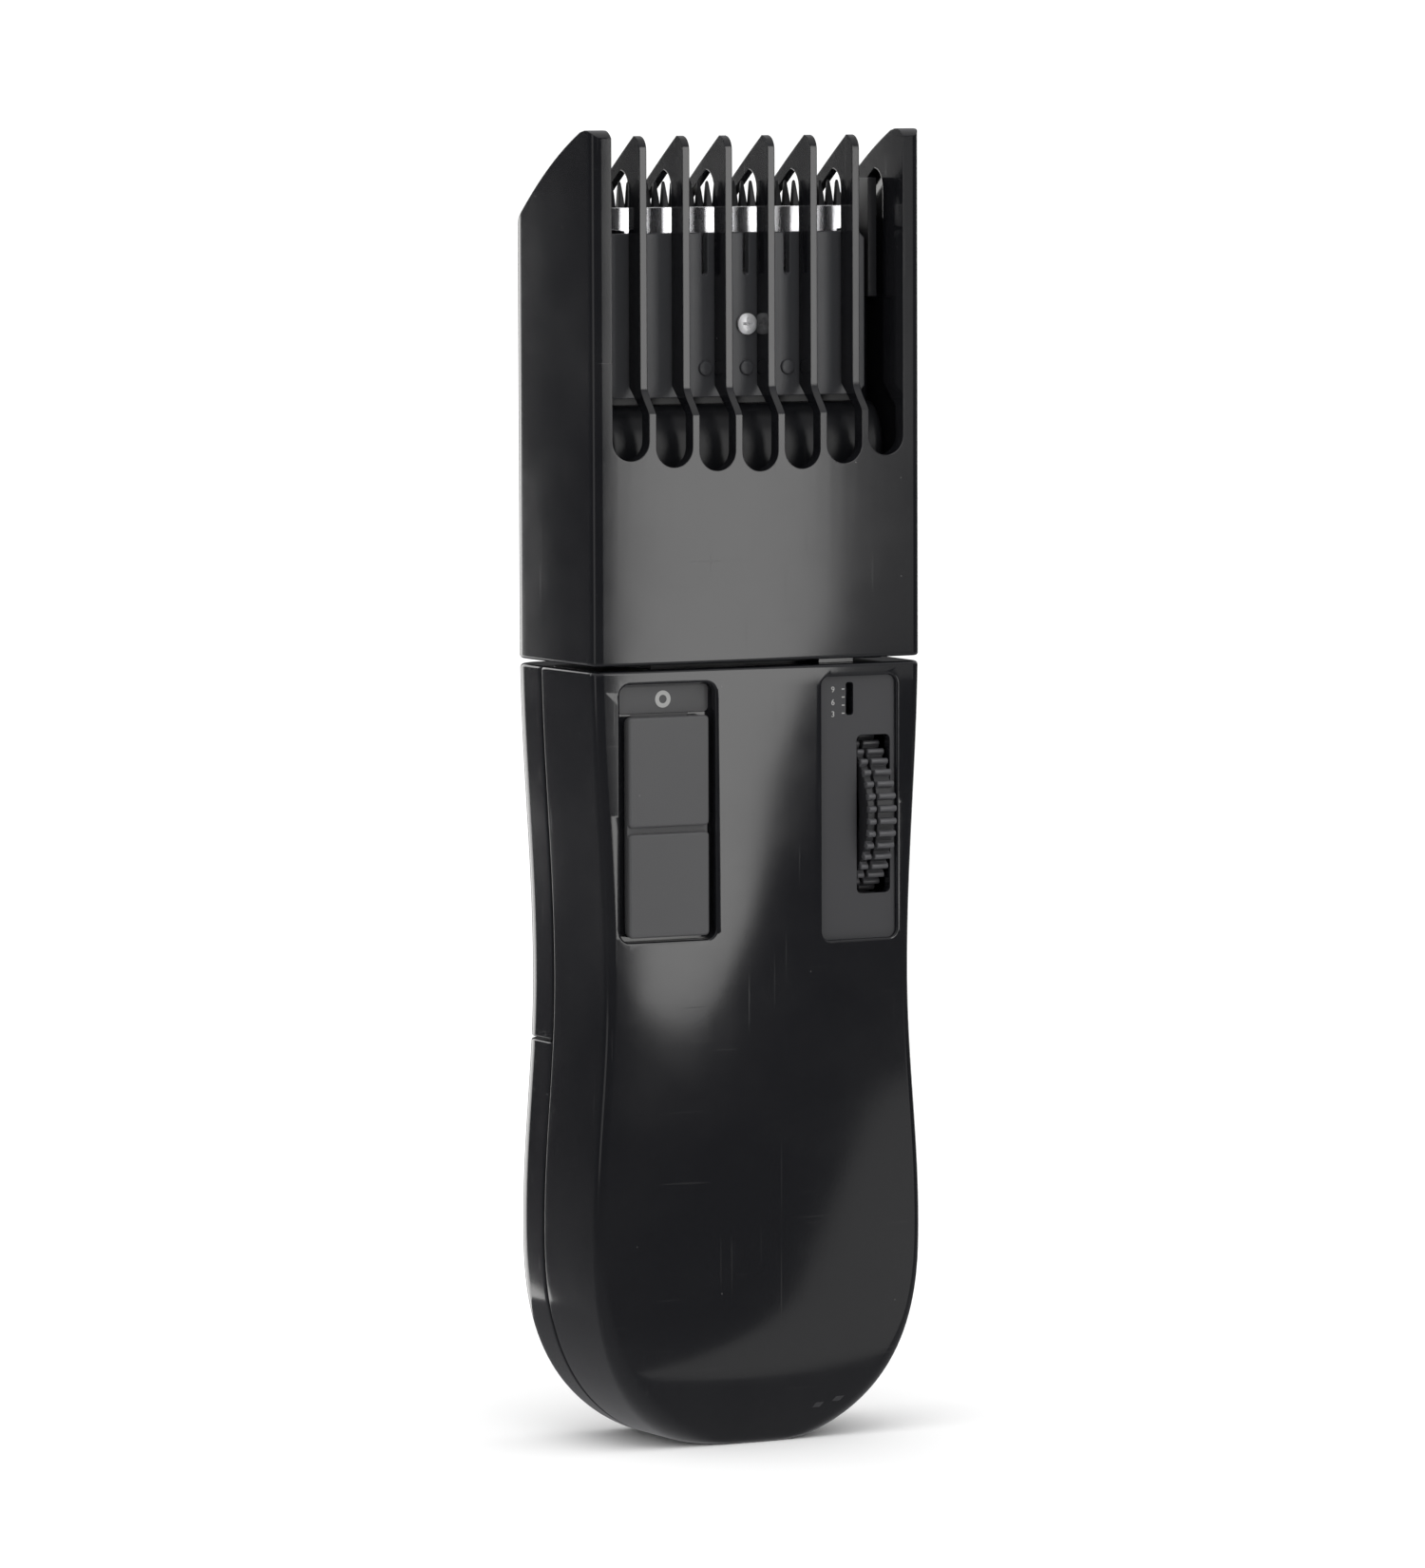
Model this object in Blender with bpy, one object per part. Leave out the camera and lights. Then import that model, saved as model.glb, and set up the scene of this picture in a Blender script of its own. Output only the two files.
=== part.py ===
"""Cordless body groomer with a height-adjustable guide comb.

Sizes are written in millimetres and turned into Blender's metres by MM as each mesh is made.
The groomer stands on its base at z = 0, its front faces -Y, and +Z runs up to the comb tips.
"""

import math

import bmesh
import bpy
from mathutils import Vector

MM = 0.001

# Handle: outline, walls and parting line.
HANDLE_TOP = 91.5
FRONT_Y = -11.0
REAR_Y = 11.0
BELLY_HALF = 21.85
BELLY_Z = 25.0
ROUND_END_RADIUS = 26.0
ROUND_END_POWER = 2.45
WAIST_HALF = 20.4
WAIST_Z = 55.0
SHOULDER_HALF = 21.9
SHOULDER_Z = 95.0
FACE_CROWN = 0.5
SIDE_DRAFT = 0.4
FRONT_EDGE_RADIUS = 1.2
HANDLE_REAR_RADIUS = 3.4
COMB_REAR_RADIUS = 3.4
FRONT_TUCK = (18.0, 1.6)
REAR_TUCK = (18.0, 3.0)
EDGE_TUCK = (28.0, 3.6)
WALL = 1.8
LEDGE = 1.5
PARTING_Y = 3.0
COVER_TOP = 47.3
SEAM = 0.3
HALF_SEAM = SEAM / 2

# Slide switch on the viewer's left of the front face.
SWITCH_X = -12.1
SWITCH_POCKET = (12.25, 30.0)
SWITCH_POCKET_Z = 74.9
SWITCH_PAD = (10.4, 25.7)
SWITCH_PAD_Z = 73.25
SWITCH_GROOVE_Z = 72.9
SWITCH_FLOOR_Y = -9.4

# Comb-length wheel, its panel, pinion and rack.
PANEL_X = 13.05
PANEL_Z = 74.5
PANEL_SIZE = (10.0, 31.0)
PANEL_Y = -10.1
WHEEL_RADIUS = 10.3
WHEEL_X = (13.4, 17.1)
WHEEL_Y = -2.4
WHEEL_Z = 73.6
WHEEL_RIBS = 42
PINION_RADIUS = 3.5
PINION_TEETH = 12
PINION_X = (9.0, 11.85)
RACK_X = (9.0, 11.95)
RACK_FRONT = -8.75
RACK_PITCH_Y = WHEEL_Y - PINION_RADIUS
CARRIAGE_TOP = 110.0

# Neck and head inside the comb.
NECK_HALF = 18.6
NECK_FRONT = -7.4
NECK_REAR = 8.4
HEAD_FRONT = -3.5
SHOULDER_TOP = 122.0
HEAD_TOP = 134.0
NECK_WALL = 1.7
TENON = (11.7, -5.5, 7.5)
PLATE_SCREW_X = 1.3
PLATE_SCREW_Z = 131.3

# Blades.
BLADE_HALF = 16.0
BLADE_Y = -3.65
BLADE_FOOT = 135.5
BLADE_TIP = 148.0
BLADE_THICK = 0.8
TOOTH_ROOT = 145.6
TEETH = 28
MOVING_HALF = 14.3
MOVING_TIP = 147.4
MOVING_Y = BLADE_Y + BLADE_THICK + 0.2
MOVING_THICK = 0.65
BLADE_SCREW_X = 11.0
BLADE_SCREW_Z = 138.0

# Guide comb.
COMB_BOTTOM = 92.1
COMB_TIP = 154.0
SLOTS = 7
SLOT_PITCH = 5.57
FIN = 0.9
FIN_FRONT = -8.5
FIN_BACK = -5.6
ROOF = 1.8
SLOT_FLOOR = 114.3
SLOT_FLOOR_ARCH = 1.5

# Drive: motor on the centre line, eccentric pin, rocker.
DRIVE_Y = 1.5
MOTOR_RADIUS = 7.7
MOTOR_FLAT = 6.0
MOTOR_Z = (66.9, 84.5)
CAN_WALL = 0.8
SHAFT_RADIUS = 0.9
ECCENTRIC = 0.6
CRANK_PIN_RADIUS = 0.95
CRANK_PIN_Z = (89.6, 96.0)
PIVOT_Z = 112.0
PIVOT_RADIUS = 1.2
FORK_HALF_GAP = 2.4
ROCKER_Y = (0.3, 2.7)

# Two AA cells.
CELL_RADIUS = 7.25
CELL_LENGTH = 50.5
CELL_X = 7.45
CELL_Y = 1.0
LEFT_CELL_BOTTOM = 11.1
RIGHT_CELL_BOTTOM = 9.6

# Shell screws in the top corners of the rear face.
SCREW_X = 15.2
SCREW_Z = 87.2
BOSS_RADIUS = 1.95

# Half size of a cutter that spans the whole groomer.
BIG = 60.0


def clear_scene():
    for obj in list(bpy.data.objects):
        bpy.data.objects.remove(obj, do_unlink=True)


def make_material(name, colour, roughness, metallic=0.0):
    material = bpy.data.materials.new(name)
    material.use_nodes = True
    shader = material.node_tree.nodes["Principled BSDF"]
    shader.inputs["Base Color"].default_value = (*colour, 1.0)
    shader.inputs["Roughness"].default_value = roughness
    shader.inputs["Metallic"].default_value = metallic
    material.diffuse_color = (*colour, 1.0)
    return material


# ---------------------------------------------------------------- shape helpers


def arc(cx, cy, radius, start, end, steps):
    """Points of an arc, angles in degrees, both ends included."""
    points = []
    for i in range(steps + 1):
        angle = math.radians(start + (end - start) * i / steps)
        points.append((cx + radius * math.cos(angle), cy + radius * math.sin(angle)))
    return points


def circle(cx, cy, radius, steps):
    return arc(cx, cy, radius, 0, 360, steps)[:-1]


def rounded_rectangle(cx, cy, width, height, radius, steps=4):
    x, y = width / 2 - radius, height / 2 - radius
    return (
        arc(cx + x, cy + y, radius, 0, 90, steps)
        + arc(cx - x, cy + y, radius, 90, 180, steps)
        + arc(cx - x, cy - y, radius, 180, 270, steps)
        + arc(cx + x, cy - y, radius, 270, 360, steps)
    )


def on_axis(axis, along, u, v):
    """The point at distance along an axis, with u and v across it."""
    if axis == "X":
        return Vector((along, u, v))
    if axis == "Y":
        return Vector((u, along, v))
    return Vector((u, v, along))


def loft(bm, rings):
    """Adds a closed solid through rings of equal length."""
    rows = [[bm.verts.new(Vector(point)) for point in ring] for ring in rings]
    count = len(rows[0])
    for low, high in zip(rows, rows[1:]):
        for i in range(count):
            j = (i + 1) % count
            bm.faces.new((low[i], low[j], high[j], high[i]))
    bm.faces.new(list(reversed(rows[0])))
    bm.faces.new(rows[-1])


def prism(bm, outline, axis, start, end):
    loft(bm, [[on_axis(axis, a, u, v) for u, v in outline] for a in (start, end)])


def box(bm, x0, x1, y0, y1, z0, z1):
    prism(bm, [(x0, y0), (x1, y0), (x1, y1), (x0, y1)], "Z", z0, z1)


def turned(bm, axis, cu, cv, profile, steps):
    """A round solid from (distance along the axis, radius) pairs."""
    loft(bm, [[on_axis(axis, a, u, v) for u, v in circle(cu, cv, r, steps)] for a, r in profile])


def rod(bm, axis, cu, cv, radius, start, end, steps=20):
    turned(bm, axis, cu, cv, [(start, radius), (end, radius)], steps)


def to_mesh(bm, name, origin):
    bmesh.ops.recalc_face_normals(bm, faces=bm.faces)
    bmesh.ops.translate(bm, verts=bm.verts, vec=-Vector(origin))
    bmesh.ops.scale(bm, verts=bm.verts, vec=(MM, MM, MM))
    mesh = bpy.data.meshes.new(name)
    bm.to_mesh(mesh)
    bm.free()
    return mesh


def set_smooth(mesh, smooth):
    mesh.polygons.foreach_set("use_smooth", [smooth] * len(mesh.polygons))


def piece(name, bm, material, origin=(0, 0, 0), parent=None, smooth=False):
    """One sub-part: its mesh, its material and its place under its parent."""
    mesh = to_mesh(bm, name, origin)
    set_smooth(mesh, smooth)
    mesh.materials.append(material)
    obj = bpy.data.objects.new(name, mesh)
    bpy.context.collection.objects.link(obj)
    place(obj, origin, parent)
    return obj


def place(obj, origin, parent):
    world = Vector(origin) * MM
    if parent is not None:
        obj.parent = parent
        world = world - parent.matrix_world.translation
    obj.location = world
    bpy.context.view_layer.update()


def axis_empty(name, origin, parent):
    empty = bpy.data.objects.new(name, None)
    empty.empty_display_size = 5 * MM
    bpy.context.collection.objects.link(empty)
    place(empty, origin, parent)
    return empty


def combine(obj, operation, bm, smooth=False):
    """Cuts or joins a helper solid, which stays hidden."""
    name = f"{obj.name}_{operation.lower()}_{len(obj.modifiers)}"
    mesh = to_mesh(bm, name, (0, 0, 0))
    set_smooth(mesh, smooth)
    if obj.data.materials:
        mesh.materials.append(obj.data.materials[0])
    helper = bpy.data.objects.new(name, mesh)
    bpy.context.collection.objects.link(helper)
    helper.hide_render = True
    helper.display_type = "WIRE"
    modifier = obj.modifiers.new(name, "BOOLEAN")
    modifier.object = helper
    modifier.operation = operation
    modifier.solver = "EXACT"


def cut(obj, bm, smooth=False):
    combine(obj, "DIFFERENCE", bm, smooth)


def join(obj, bm, smooth=False):
    combine(obj, "UNION", bm, smooth)


def cut_box(obj, *sides):
    bm = bmesh.new()
    box(bm, *sides)
    cut(obj, bm)


def join_box(obj, *sides):
    bm = bmesh.new()
    box(bm, *sides)
    join(obj, bm)


def cut_prism(obj, outline, axis, start, end):
    bm = bmesh.new()
    prism(bm, outline, axis, start, end)
    cut(obj, bm)


def cut_rod(obj, axis, cu, cv, radius, start, end, steps=20):
    bm = bmesh.new()
    rod(bm, axis, cu, cv, radius, start, end, steps)
    cut(obj, bm, smooth=True)


def join_rod(obj, axis, cu, cv, radius, start, end, steps=20):
    bm = bmesh.new()
    rod(bm, axis, cu, cv, radius, start, end, steps)
    join(obj, bm, smooth=True)


# ---------------------------------------------------------------- handle outline


def ease(t):
    return (1 - math.cos(math.pi * t)) / 2


def handle_half(z, inset):
    """Half width: a round lower end, the waist, then the shoulders."""
    if z < BELLY_Z:
        drop = (BELLY_Z - z) / (ROUND_END_RADIUS - inset)
        return (BELLY_HALF - inset) * (1 - drop**ROUND_END_POWER) ** (1 / ROUND_END_POWER)
    if z < WAIST_Z:
        t = ease((z - BELLY_Z) / (WAIST_Z - BELLY_Z))
        return BELLY_HALF + (WAIST_HALF - BELLY_HALF) * t - inset
    t = ease((z - WAIST_Z) / (SHOULDER_Z - WAIST_Z))
    return WAIST_HALF + (SHOULDER_HALF - WAIST_HALF) * t - inset


def tuck(z, height, amount):
    """How far a face is drawn in near the base."""
    return amount * max(0.0, 1 - z / height) ** 3


def ring(z, half, front, rear, front_radius, rear_radius, crown, draft):
    """A section at height z: nearly flat front, drafted sides, rounded rear corners."""
    side_front = half - draft
    edge_front = front + crown
    points = []
    for i in range(4):
        x = (side_front - front_radius) * i / 4
        points.append((x, front + crown * (x / side_front) ** 2))
    points += arc(side_front - front_radius, edge_front + front_radius, front_radius, -90, 0, 4)
    middle = (edge_front + rear) / 2
    points.append(((side_front + half) / 2 + draft / 4, middle))
    points += arc(half - rear_radius, rear - rear_radius, rear_radius, 0, 90, 6)
    mirrored = [(-x, y) for x, y in reversed(points[1:])]
    return [(x, y, z) for x, y in points + [(0.0, rear)] + mirrored]


def handle_ring(z, inset):
    half = handle_half(z, inset)
    front_radius = max(FRONT_EDGE_RADIUS + tuck(z, *EDGE_TUCK) - inset, 0.5)
    rear = REAR_Y - inset - tuck(z, *REAR_TUCK)
    rear_radius = min(HANDLE_REAR_RADIUS, half - 0.8) - inset / 2
    return ring(
        z,
        half,
        FRONT_Y + inset + tuck(z, *FRONT_TUCK),
        rear,
        min(front_radius, half - 1.5),
        rear_radius,
        FACE_CROWN,
        SIDE_DRAFT,
    )


LOW_STATIONS = (0, 0.9, 2.2, 4, 6.3, 9, 12.5, 16.5, 21, 26)
HANDLE_STATIONS = LOW_STATIONS + (33, 40, 47.2, 55, 63, 71, 79, 86, HANDLE_TOP)


def handle_hollow(name, material, parent):
    """The whole handle as one thin-walled body, before it is parted."""
    bm = bmesh.new()
    loft(bm, [handle_ring(z, 0.0) for z in HANDLE_STATIONS])
    obj = piece(name, bm, material, parent=parent, smooth=True)
    inside = [z for z in HANDLE_STATIONS if WALL < z < HANDLE_TOP - LEDGE]
    bm = bmesh.new()
    loft(bm, [handle_ring(z, WALL) for z in [WALL] + inside + [HANDLE_TOP - LEDGE]])
    cut(obj, bm, smooth=True)
    return obj


def make_front_shell(material, root):
    shell = handle_hollow("front_shell", material, root)
    cut_box(shell, -BIG, BIG, PARTING_Y - HALF_SEAM, BIG, -5, HANDLE_TOP + 5)
    # A thicker wall behind the switch pocket.
    width, height = SWITCH_POCKET
    x0, x1 = SWITCH_X - width / 2 - 1, SWITCH_X + width / 2 + 1
    z0, z1 = SWITCH_POCKET_Z - height / 2 - 1, SWITCH_POCKET_Z + height / 2 + 0.6
    join_box(shell, x0, x1, -9.9, SWITCH_FLOOR_Y + 1.4, z0, z1)
    pocket = rounded_rectangle(SWITCH_X, SWITCH_POCKET_Z, width, height, 1.2)
    cut_prism(shell, pocket, "Y", FRONT_Y - 3, SWITCH_FLOOR_Y)
    stem_slot = rounded_rectangle(SWITCH_X, 75.2, 4.0, 15.0, 0.8)
    cut_prism(shell, stem_slot, "Y", FRONT_Y - 3, -6.5)
    panel = rounded_rectangle(PANEL_X, PANEL_Z, *PANEL_SIZE, 1.0)
    cut_prism(shell, panel, "Y", FRONT_Y - 3, PANEL_Y)
    wheel_slot = rounded_rectangle(15.25, WHEEL_Z, 4.3, 18.6, 0.6)
    cut_prism(shell, wheel_slot, "Y", FRONT_Y - 3, -7.0)
    pointer_slot = rounded_rectangle(12.1, 87.3, 0.9, 3.8, 0.3)
    cut_prism(shell, pointer_slot, "Y", FRONT_Y - 3, -8.0)
    for side in (-1, 1):
        join_rod(shell, "Y", side * SCREW_X, SCREW_Z, BOSS_RADIUS, -9.3, PARTING_Y - HALF_SEAM, 16)
        cut_rod(shell, "Y", side * SCREW_X, SCREW_Z, 1.1, -7.5, PARTING_Y + 1, 16)
    cut_box(shell, -TENON[0] - SEAM, TENON[0] + SEAM, TENON[1] - SEAM, BIG, 88, HANDLE_TOP + 1)
    cut_box(shell, 8.6, 13.2, -9.0, -5.9, 88, HANDLE_TOP + 1)
    return shell


def make_rear_shell(material, root):
    shell = handle_hollow("rear_shell", material, root)
    cut_box(shell, -BIG, BIG, -BIG, PARTING_Y + HALF_SEAM, -5, HANDLE_TOP + 5)
    cut_box(shell, -BIG, BIG, -BIG, BIG, -5, COVER_TOP + HALF_SEAM)
    for side in (-1, 1):
        x = side * SCREW_X
        join_rod(shell, "Y", x, SCREW_Z, BOSS_RADIUS, PARTING_Y + HALF_SEAM, REAR_Y - 1.2, 16)
        cut_rod(shell, "Y", x, SCREW_Z, 1.1, PARTING_Y - 1, REAR_Y + 1, 16)
        cut_rod(shell, "Y", x, SCREW_Z, 2.2, REAR_Y - 1.5, REAR_Y + 1, 20)
    cut_box(shell, -TENON[0] - SEAM, TENON[0] + SEAM, -BIG, TENON[2] + SEAM, 88, HANDLE_TOP + 1)
    # The locating lip behind the battery cover's top edge, clear of the cells.
    lip = REAR_Y - WALL - SEAM
    join_box(shell, -4.5, 4.5, lip - 0.6, lip, COVER_TOP - 2.5, COVER_TOP + 3.5)
    join_box(shell, -4.5, 4.5, lip - 0.6, REAR_Y - 1.0, COVER_TOP + 0.8, COVER_TOP + 3.5)
    return shell


def make_battery_cover(material, parent):
    cover = handle_hollow("battery_cover", material, parent)
    cut_box(cover, -BIG, BIG, -BIG, PARTING_Y + HALF_SEAM, -5, HANDLE_TOP + 5)
    cut_box(cover, -BIG, BIG, -BIG, BIG, COVER_TOP - HALF_SEAM, HANDLE_TOP + 5)
    for i in range(4):
        z = 36.0 + 2.2 * i
        groove = rounded_rectangle(0, z, 15.0 - 1.6 * i, 0.9, 0.4, 3)
        cut_prism(cover, groove, "Y", REAR_Y - 0.5, REAR_Y + 2)
    return cover


# ---------------------------------------------------------------- neck and head


def neck_ring(z, front, inset):
    half = NECK_HALF - inset
    rear = NECK_REAR - inset
    return ring(z, half, front + inset, rear, 1.6 - inset / 2, 3.0 - inset / 2, 0.0, 0.0)


def neck_rings(inset, bottom, top):
    """The neck, its rounded shoulder, then the slimmer head."""
    rings = [neck_ring(bottom, NECK_FRONT, inset)]
    depth = HEAD_FRONT - NECK_FRONT
    for i in range(6):
        angle = math.pi / 2 * i / 5
        z = SHOULDER_TOP - depth * (1 - math.sin(angle)) * 1.3
        rings.append(neck_ring(z - inset * 0.6, HEAD_FRONT - depth * math.cos(angle), inset))
    rings.append(neck_ring(top, HEAD_FRONT, inset))
    return rings


def make_head_housing(material, root):
    bm = bmesh.new()
    loft(bm, neck_rings(0.0, HANDLE_TOP + SEAM, HEAD_TOP))
    head = piece("head_housing", bm, material, parent=root, smooth=True)
    join_box(head, -TENON[0], TENON[0], TENON[1], TENON[2], 86.5, HANDLE_TOP + 1.5)
    bm = bmesh.new()
    loft(bm, neck_rings(NECK_WALL, 93.6, HEAD_TOP - 1.5))
    cut(head, bm, smooth=True)
    cut_rod(head, "Y", PLATE_SCREW_X, PLATE_SCREW_Z, 0.95, -4.5, -1.6, 10)
    cut_box(head, -9.9, 9.9, -3.7, 5.7, 84, 95)
    cut_box(head, -5.0, 5.0, -1.4, 4.4, HEAD_TOP - 3, HEAD_TOP + 1)
    cut_rod(head, "Y", 0, PIVOT_Z, PIVOT_RADIUS + SEAM, NECK_FRONT - 1, NECK_REAR + 1, 16)
    return head


def make_head_plate(material, root):
    bm = bmesh.new()
    box(bm, -17.0, 17.0, -4.9, HEAD_FRONT - SEAM, 122.8, 142.0)
    plate = piece("head_plate", bm, material, parent=root)
    for i in range(-1, 2):
        x = PLATE_SCREW_X + 5.4 * i
        cut_box(plate, x - 0.32, x + 0.32, -6, 0, 137.0, 143.0)
        join_rod(plate, "Y", x, 126.2, 0.9, -5.25, -4.5, 12)
    cut_rod(plate, "Y", PLATE_SCREW_X, PLATE_SCREW_Z, 0.95, -6, 0, 12)
    return plate


def make_screw(name, material, root, x, z, head_y, inward, head_radius, shank_radius, length, head_height):
    """A cross-head screw along Y, its head at head_y and its shank running inward."""
    bm = bmesh.new()
    shoulder = head_y + inward * head_height
    tip = shoulder + inward * length
    profile = [
        (head_y, head_radius * 0.72),
        (head_y + inward * head_height * 0.45, head_radius),
        (shoulder, head_radius),
        (shoulder + inward * 0.01, shank_radius),
        (tip - inward * 0.6, shank_radius),
        (tip, shank_radius * 0.3),
    ]
    turned(bm, "Y", x, z, profile, 14)
    screw = piece(name, bm, material, origin=(x, head_y, z), parent=root, smooth=True)
    arm = head_radius * 0.55
    slot = head_radius * 0.13
    deep = head_y + inward * head_height * 0.5
    low, high = sorted((head_y - inward, deep))
    cut_box(screw, x - arm, x + arm, low, high, z - slot, z + slot)
    cut_box(screw, x - slot, x + slot, low, high, z - arm, z + arm)
    return screw


# ---------------------------------------------------------------- blades


def toothed_outline(half, foot, root_z, tip_z, count, foot_half):
    """A plate in X and Z with pointed teeth along its top."""
    pitch = 2 * half / count
    outline = [(-foot_half, foot), (foot_half, foot), (foot_half, root_z - 3.2), (half, root_z - 3.2)]
    for i in range(count):
        right = half - pitch * i
        outline.append((right, root_z if i else root_z - 0.6))
        outline.append((right - pitch * 0.14, root_z))
        outline.append((right - pitch * 0.36, tip_z))
        outline.append((right - pitch * 0.64, tip_z))
        outline.append((right - pitch * 0.86, root_z))
    outline.append((-half, root_z - 0.6))
    outline.append((-half, root_z - 3.2))
    outline.append((-foot_half, root_z - 3.2))
    return outline


def make_fixed_blade(material, root):
    bm = bmesh.new()
    outline = toothed_outline(BLADE_HALF, BLADE_FOOT, TOOTH_ROOT, BLADE_TIP, TEETH, 14.0)
    prism(bm, outline, "Y", BLADE_Y, BLADE_Y + BLADE_THICK)
    for vert in bm.verts:
        if vert.co.z > BLADE_TIP - 0.1 and vert.co.y < BLADE_Y + 0.1:
            vert.co.y += BLADE_THICK * 0.6
    blade = piece("fixed_blade", bm, material, parent=root)
    for side in (-1, 1):
        cut_rod(blade, "Y", side * BLADE_SCREW_X, BLADE_SCREW_Z, 1.9, BLADE_Y - 1, BLADE_Y + 2, 18)
    return blade


def make_moving_blade(material, parent):
    bm = bmesh.new()
    outline = toothed_outline(MOVING_HALF, 137.6, TOOTH_ROOT, MOVING_TIP, 25, 5.0)
    prism(bm, outline, "Y", MOVING_Y, MOVING_Y + MOVING_THICK)
    origin = (0, MOVING_Y, 141.0)
    blade = piece("moving_blade", bm, material, origin=origin, parent=parent)
    cut_box(blade, -1.4, 1.4, -5, 0, 136.0, 141.0)
    return blade


def make_blade_spring(material, root):
    y = MOVING_Y + MOVING_THICK + 0.2
    bm = bmesh.new()
    box(bm, -8.0, 8.0, y, y + 0.45, 142.1, 143.5)
    spring = piece("blade_spring", bm, material, parent=root)
    for side in (-1, 1):
        x0, x1 = sorted((side * 6.2, side * 8.0))
        join_box(spring, x0, x1, y, y + 0.45, 135.0, 142.8)
    return spring


def make_blade_holder(material, root):
    bm = bmesh.new()
    box(bm, -18.4, 18.4, -1.1, 5.2, HEAD_TOP + SEAM, 142.6)
    holder = piece("blade_holder", bm, material, parent=root)
    for side in (-1, 1):
        outline = [(-5.2, HEAD_TOP + SEAM), (5.2, HEAD_TOP + SEAM), (5.2, 143.5)]
        outline += [(-2.0, 148.2), (-5.2, 148.2)]
        bm = bmesh.new()
        x0, x1 = sorted((side * 17.3, side * 18.4))
        prism(bm, outline, "X", x0, x1)
        join(holder, bm)
        cut_rod(holder, "Y", side * BLADE_SCREW_X, BLADE_SCREW_Z, 1.15, -2, 4.2, 14)
    cut_box(holder, -3.7, 3.7, -3, 7, HEAD_TOP - 1, 144)
    join_box(holder, -4.5, 4.5, 4.2, 5.2, HEAD_TOP + SEAM, 142.6)
    return holder


# ---------------------------------------------------------------- drive


def flat_sided(radius, flat, steps=7):
    """A round can with two flat sides, centred on the drive line."""
    reach = math.degrees(math.asin(flat / radius))
    right = arc(0, DRIVE_Y, radius, -reach, reach, steps)
    return right + arc(0, DRIVE_Y, radius, 180 - reach, 180 + reach, steps)


def make_motor(can_material, cap_material, coil_material, steel, root, spin):
    low, high = MOTOR_Z
    bm = bmesh.new()
    prism(bm, flat_sided(MOTOR_RADIUS, MOTOR_FLAT), "Z", low, high)
    can = piece("motor_can", bm, can_material, parent=root, smooth=True)
    join_rod(can, "Z", 0, DRIVE_Y, 2.6, high - 0.5, high + 1.0, 18)
    inner = flat_sided(MOTOR_RADIUS - CAN_WALL, MOTOR_FLAT - CAN_WALL)
    cut_prism(can, inner, "Z", low - 1, high - CAN_WALL)
    cut_rod(can, "Z", 0, DRIVE_Y, SHAFT_RADIUS + SEAM, high - 3, high + 3, 16)

    bm = bmesh.new()
    prism(bm, flat_sided(MOTOR_RADIUS - 0.1, MOTOR_FLAT - 0.1), "Z", low - 2.4, low - SEAM)
    cap = piece("motor_end_cap", bm, cap_material, parent=root, smooth=True)
    cut_rod(cap, "Z", 0, DRIVE_Y, SHAFT_RADIUS + SEAM, low - 5, low + 2, 16)

    bm = bmesh.new()
    rod(bm, "Z", 0, DRIVE_Y, 4.6, low + 2.0, high - 3.0, 24)
    rotor = piece("motor_rotor", bm, coil_material, origin=(0, DRIVE_Y, low + 8), parent=spin, smooth=True)
    cut_rod(rotor, "Z", 0, DRIVE_Y, SHAFT_RADIUS + 0.2, low, high, 16)
    for i in range(3):
        angle = math.radians(90 + 120 * i)
        x, y = 4.4 * math.cos(angle), DRIVE_Y + 4.4 * math.sin(angle)
        cut_rod(rotor, "Z", x, y, 1.3, low, high, 10)

    bm = bmesh.new()
    rod(bm, "Z", 0, DRIVE_Y, SHAFT_RADIUS, low - 1.6, CRANK_PIN_Z[0] - 1.2, 16)
    piece("motor_shaft", bm, steel, origin=(0, DRIVE_Y, low), parent=spin, smooth=True)


def make_eccentric(material, spin):
    bm = bmesh.new()
    turned(bm, "Z", 0, DRIVE_Y, [(86.0, 3.0), (86.4, 3.4), (89.2, 3.4), (CRANK_PIN_Z[0], 3.0)], 22)
    cam = piece("eccentric_cam", bm, material, origin=(0, DRIVE_Y, 87.5), parent=spin, smooth=True)
    join_rod(cam, "Z", ECCENTRIC, DRIVE_Y, CRANK_PIN_RADIUS, 89.0, CRANK_PIN_Z[1], 16)
    cut_rod(cam, "Z", 0, DRIVE_Y, SHAFT_RADIUS + 0.2, 85.0, CRANK_PIN_Z[0] - 0.9, 16)
    return cam


def make_rocker(material, parent):
    """A lever in X and Z with a fork below the pivot and a drive finger above."""
    hub = 4.0
    outer = FORK_HALF_GAP + 1.9
    half = [
        (FORK_HALF_GAP, 98.2),
        (FORK_HALF_GAP, 92.2),
        (outer, 92.2),
        (outer, 98.6),
        (2.2, 103.5),
        (2.2, PIVOT_Z - hub * 0.9),
    ]
    half += [(x, z) for x, z in arc(0, PIVOT_Z, hub, -40, 62, 8)]
    half += [(1.5, 119.0), (1.2, 140.4)]
    outline = half + [(-x, z) for x, z in reversed(half)]
    bm = bmesh.new()
    prism(bm, outline, "Y", *ROCKER_Y)
    origin = (0, DRIVE_Y, PIVOT_Z)
    rocker = piece("drive_rocker", bm, material, origin=origin, parent=parent)
    join_box(rocker, -1.05, 1.05, MOVING_Y + 0.1, ROCKER_Y[1] - 0.2, 138.4, 140.4)
    cut_rod(rocker, "Y", 0, PIVOT_Z, PIVOT_RADIUS + 0.2, -3, 6, 16)
    return rocker


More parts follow.
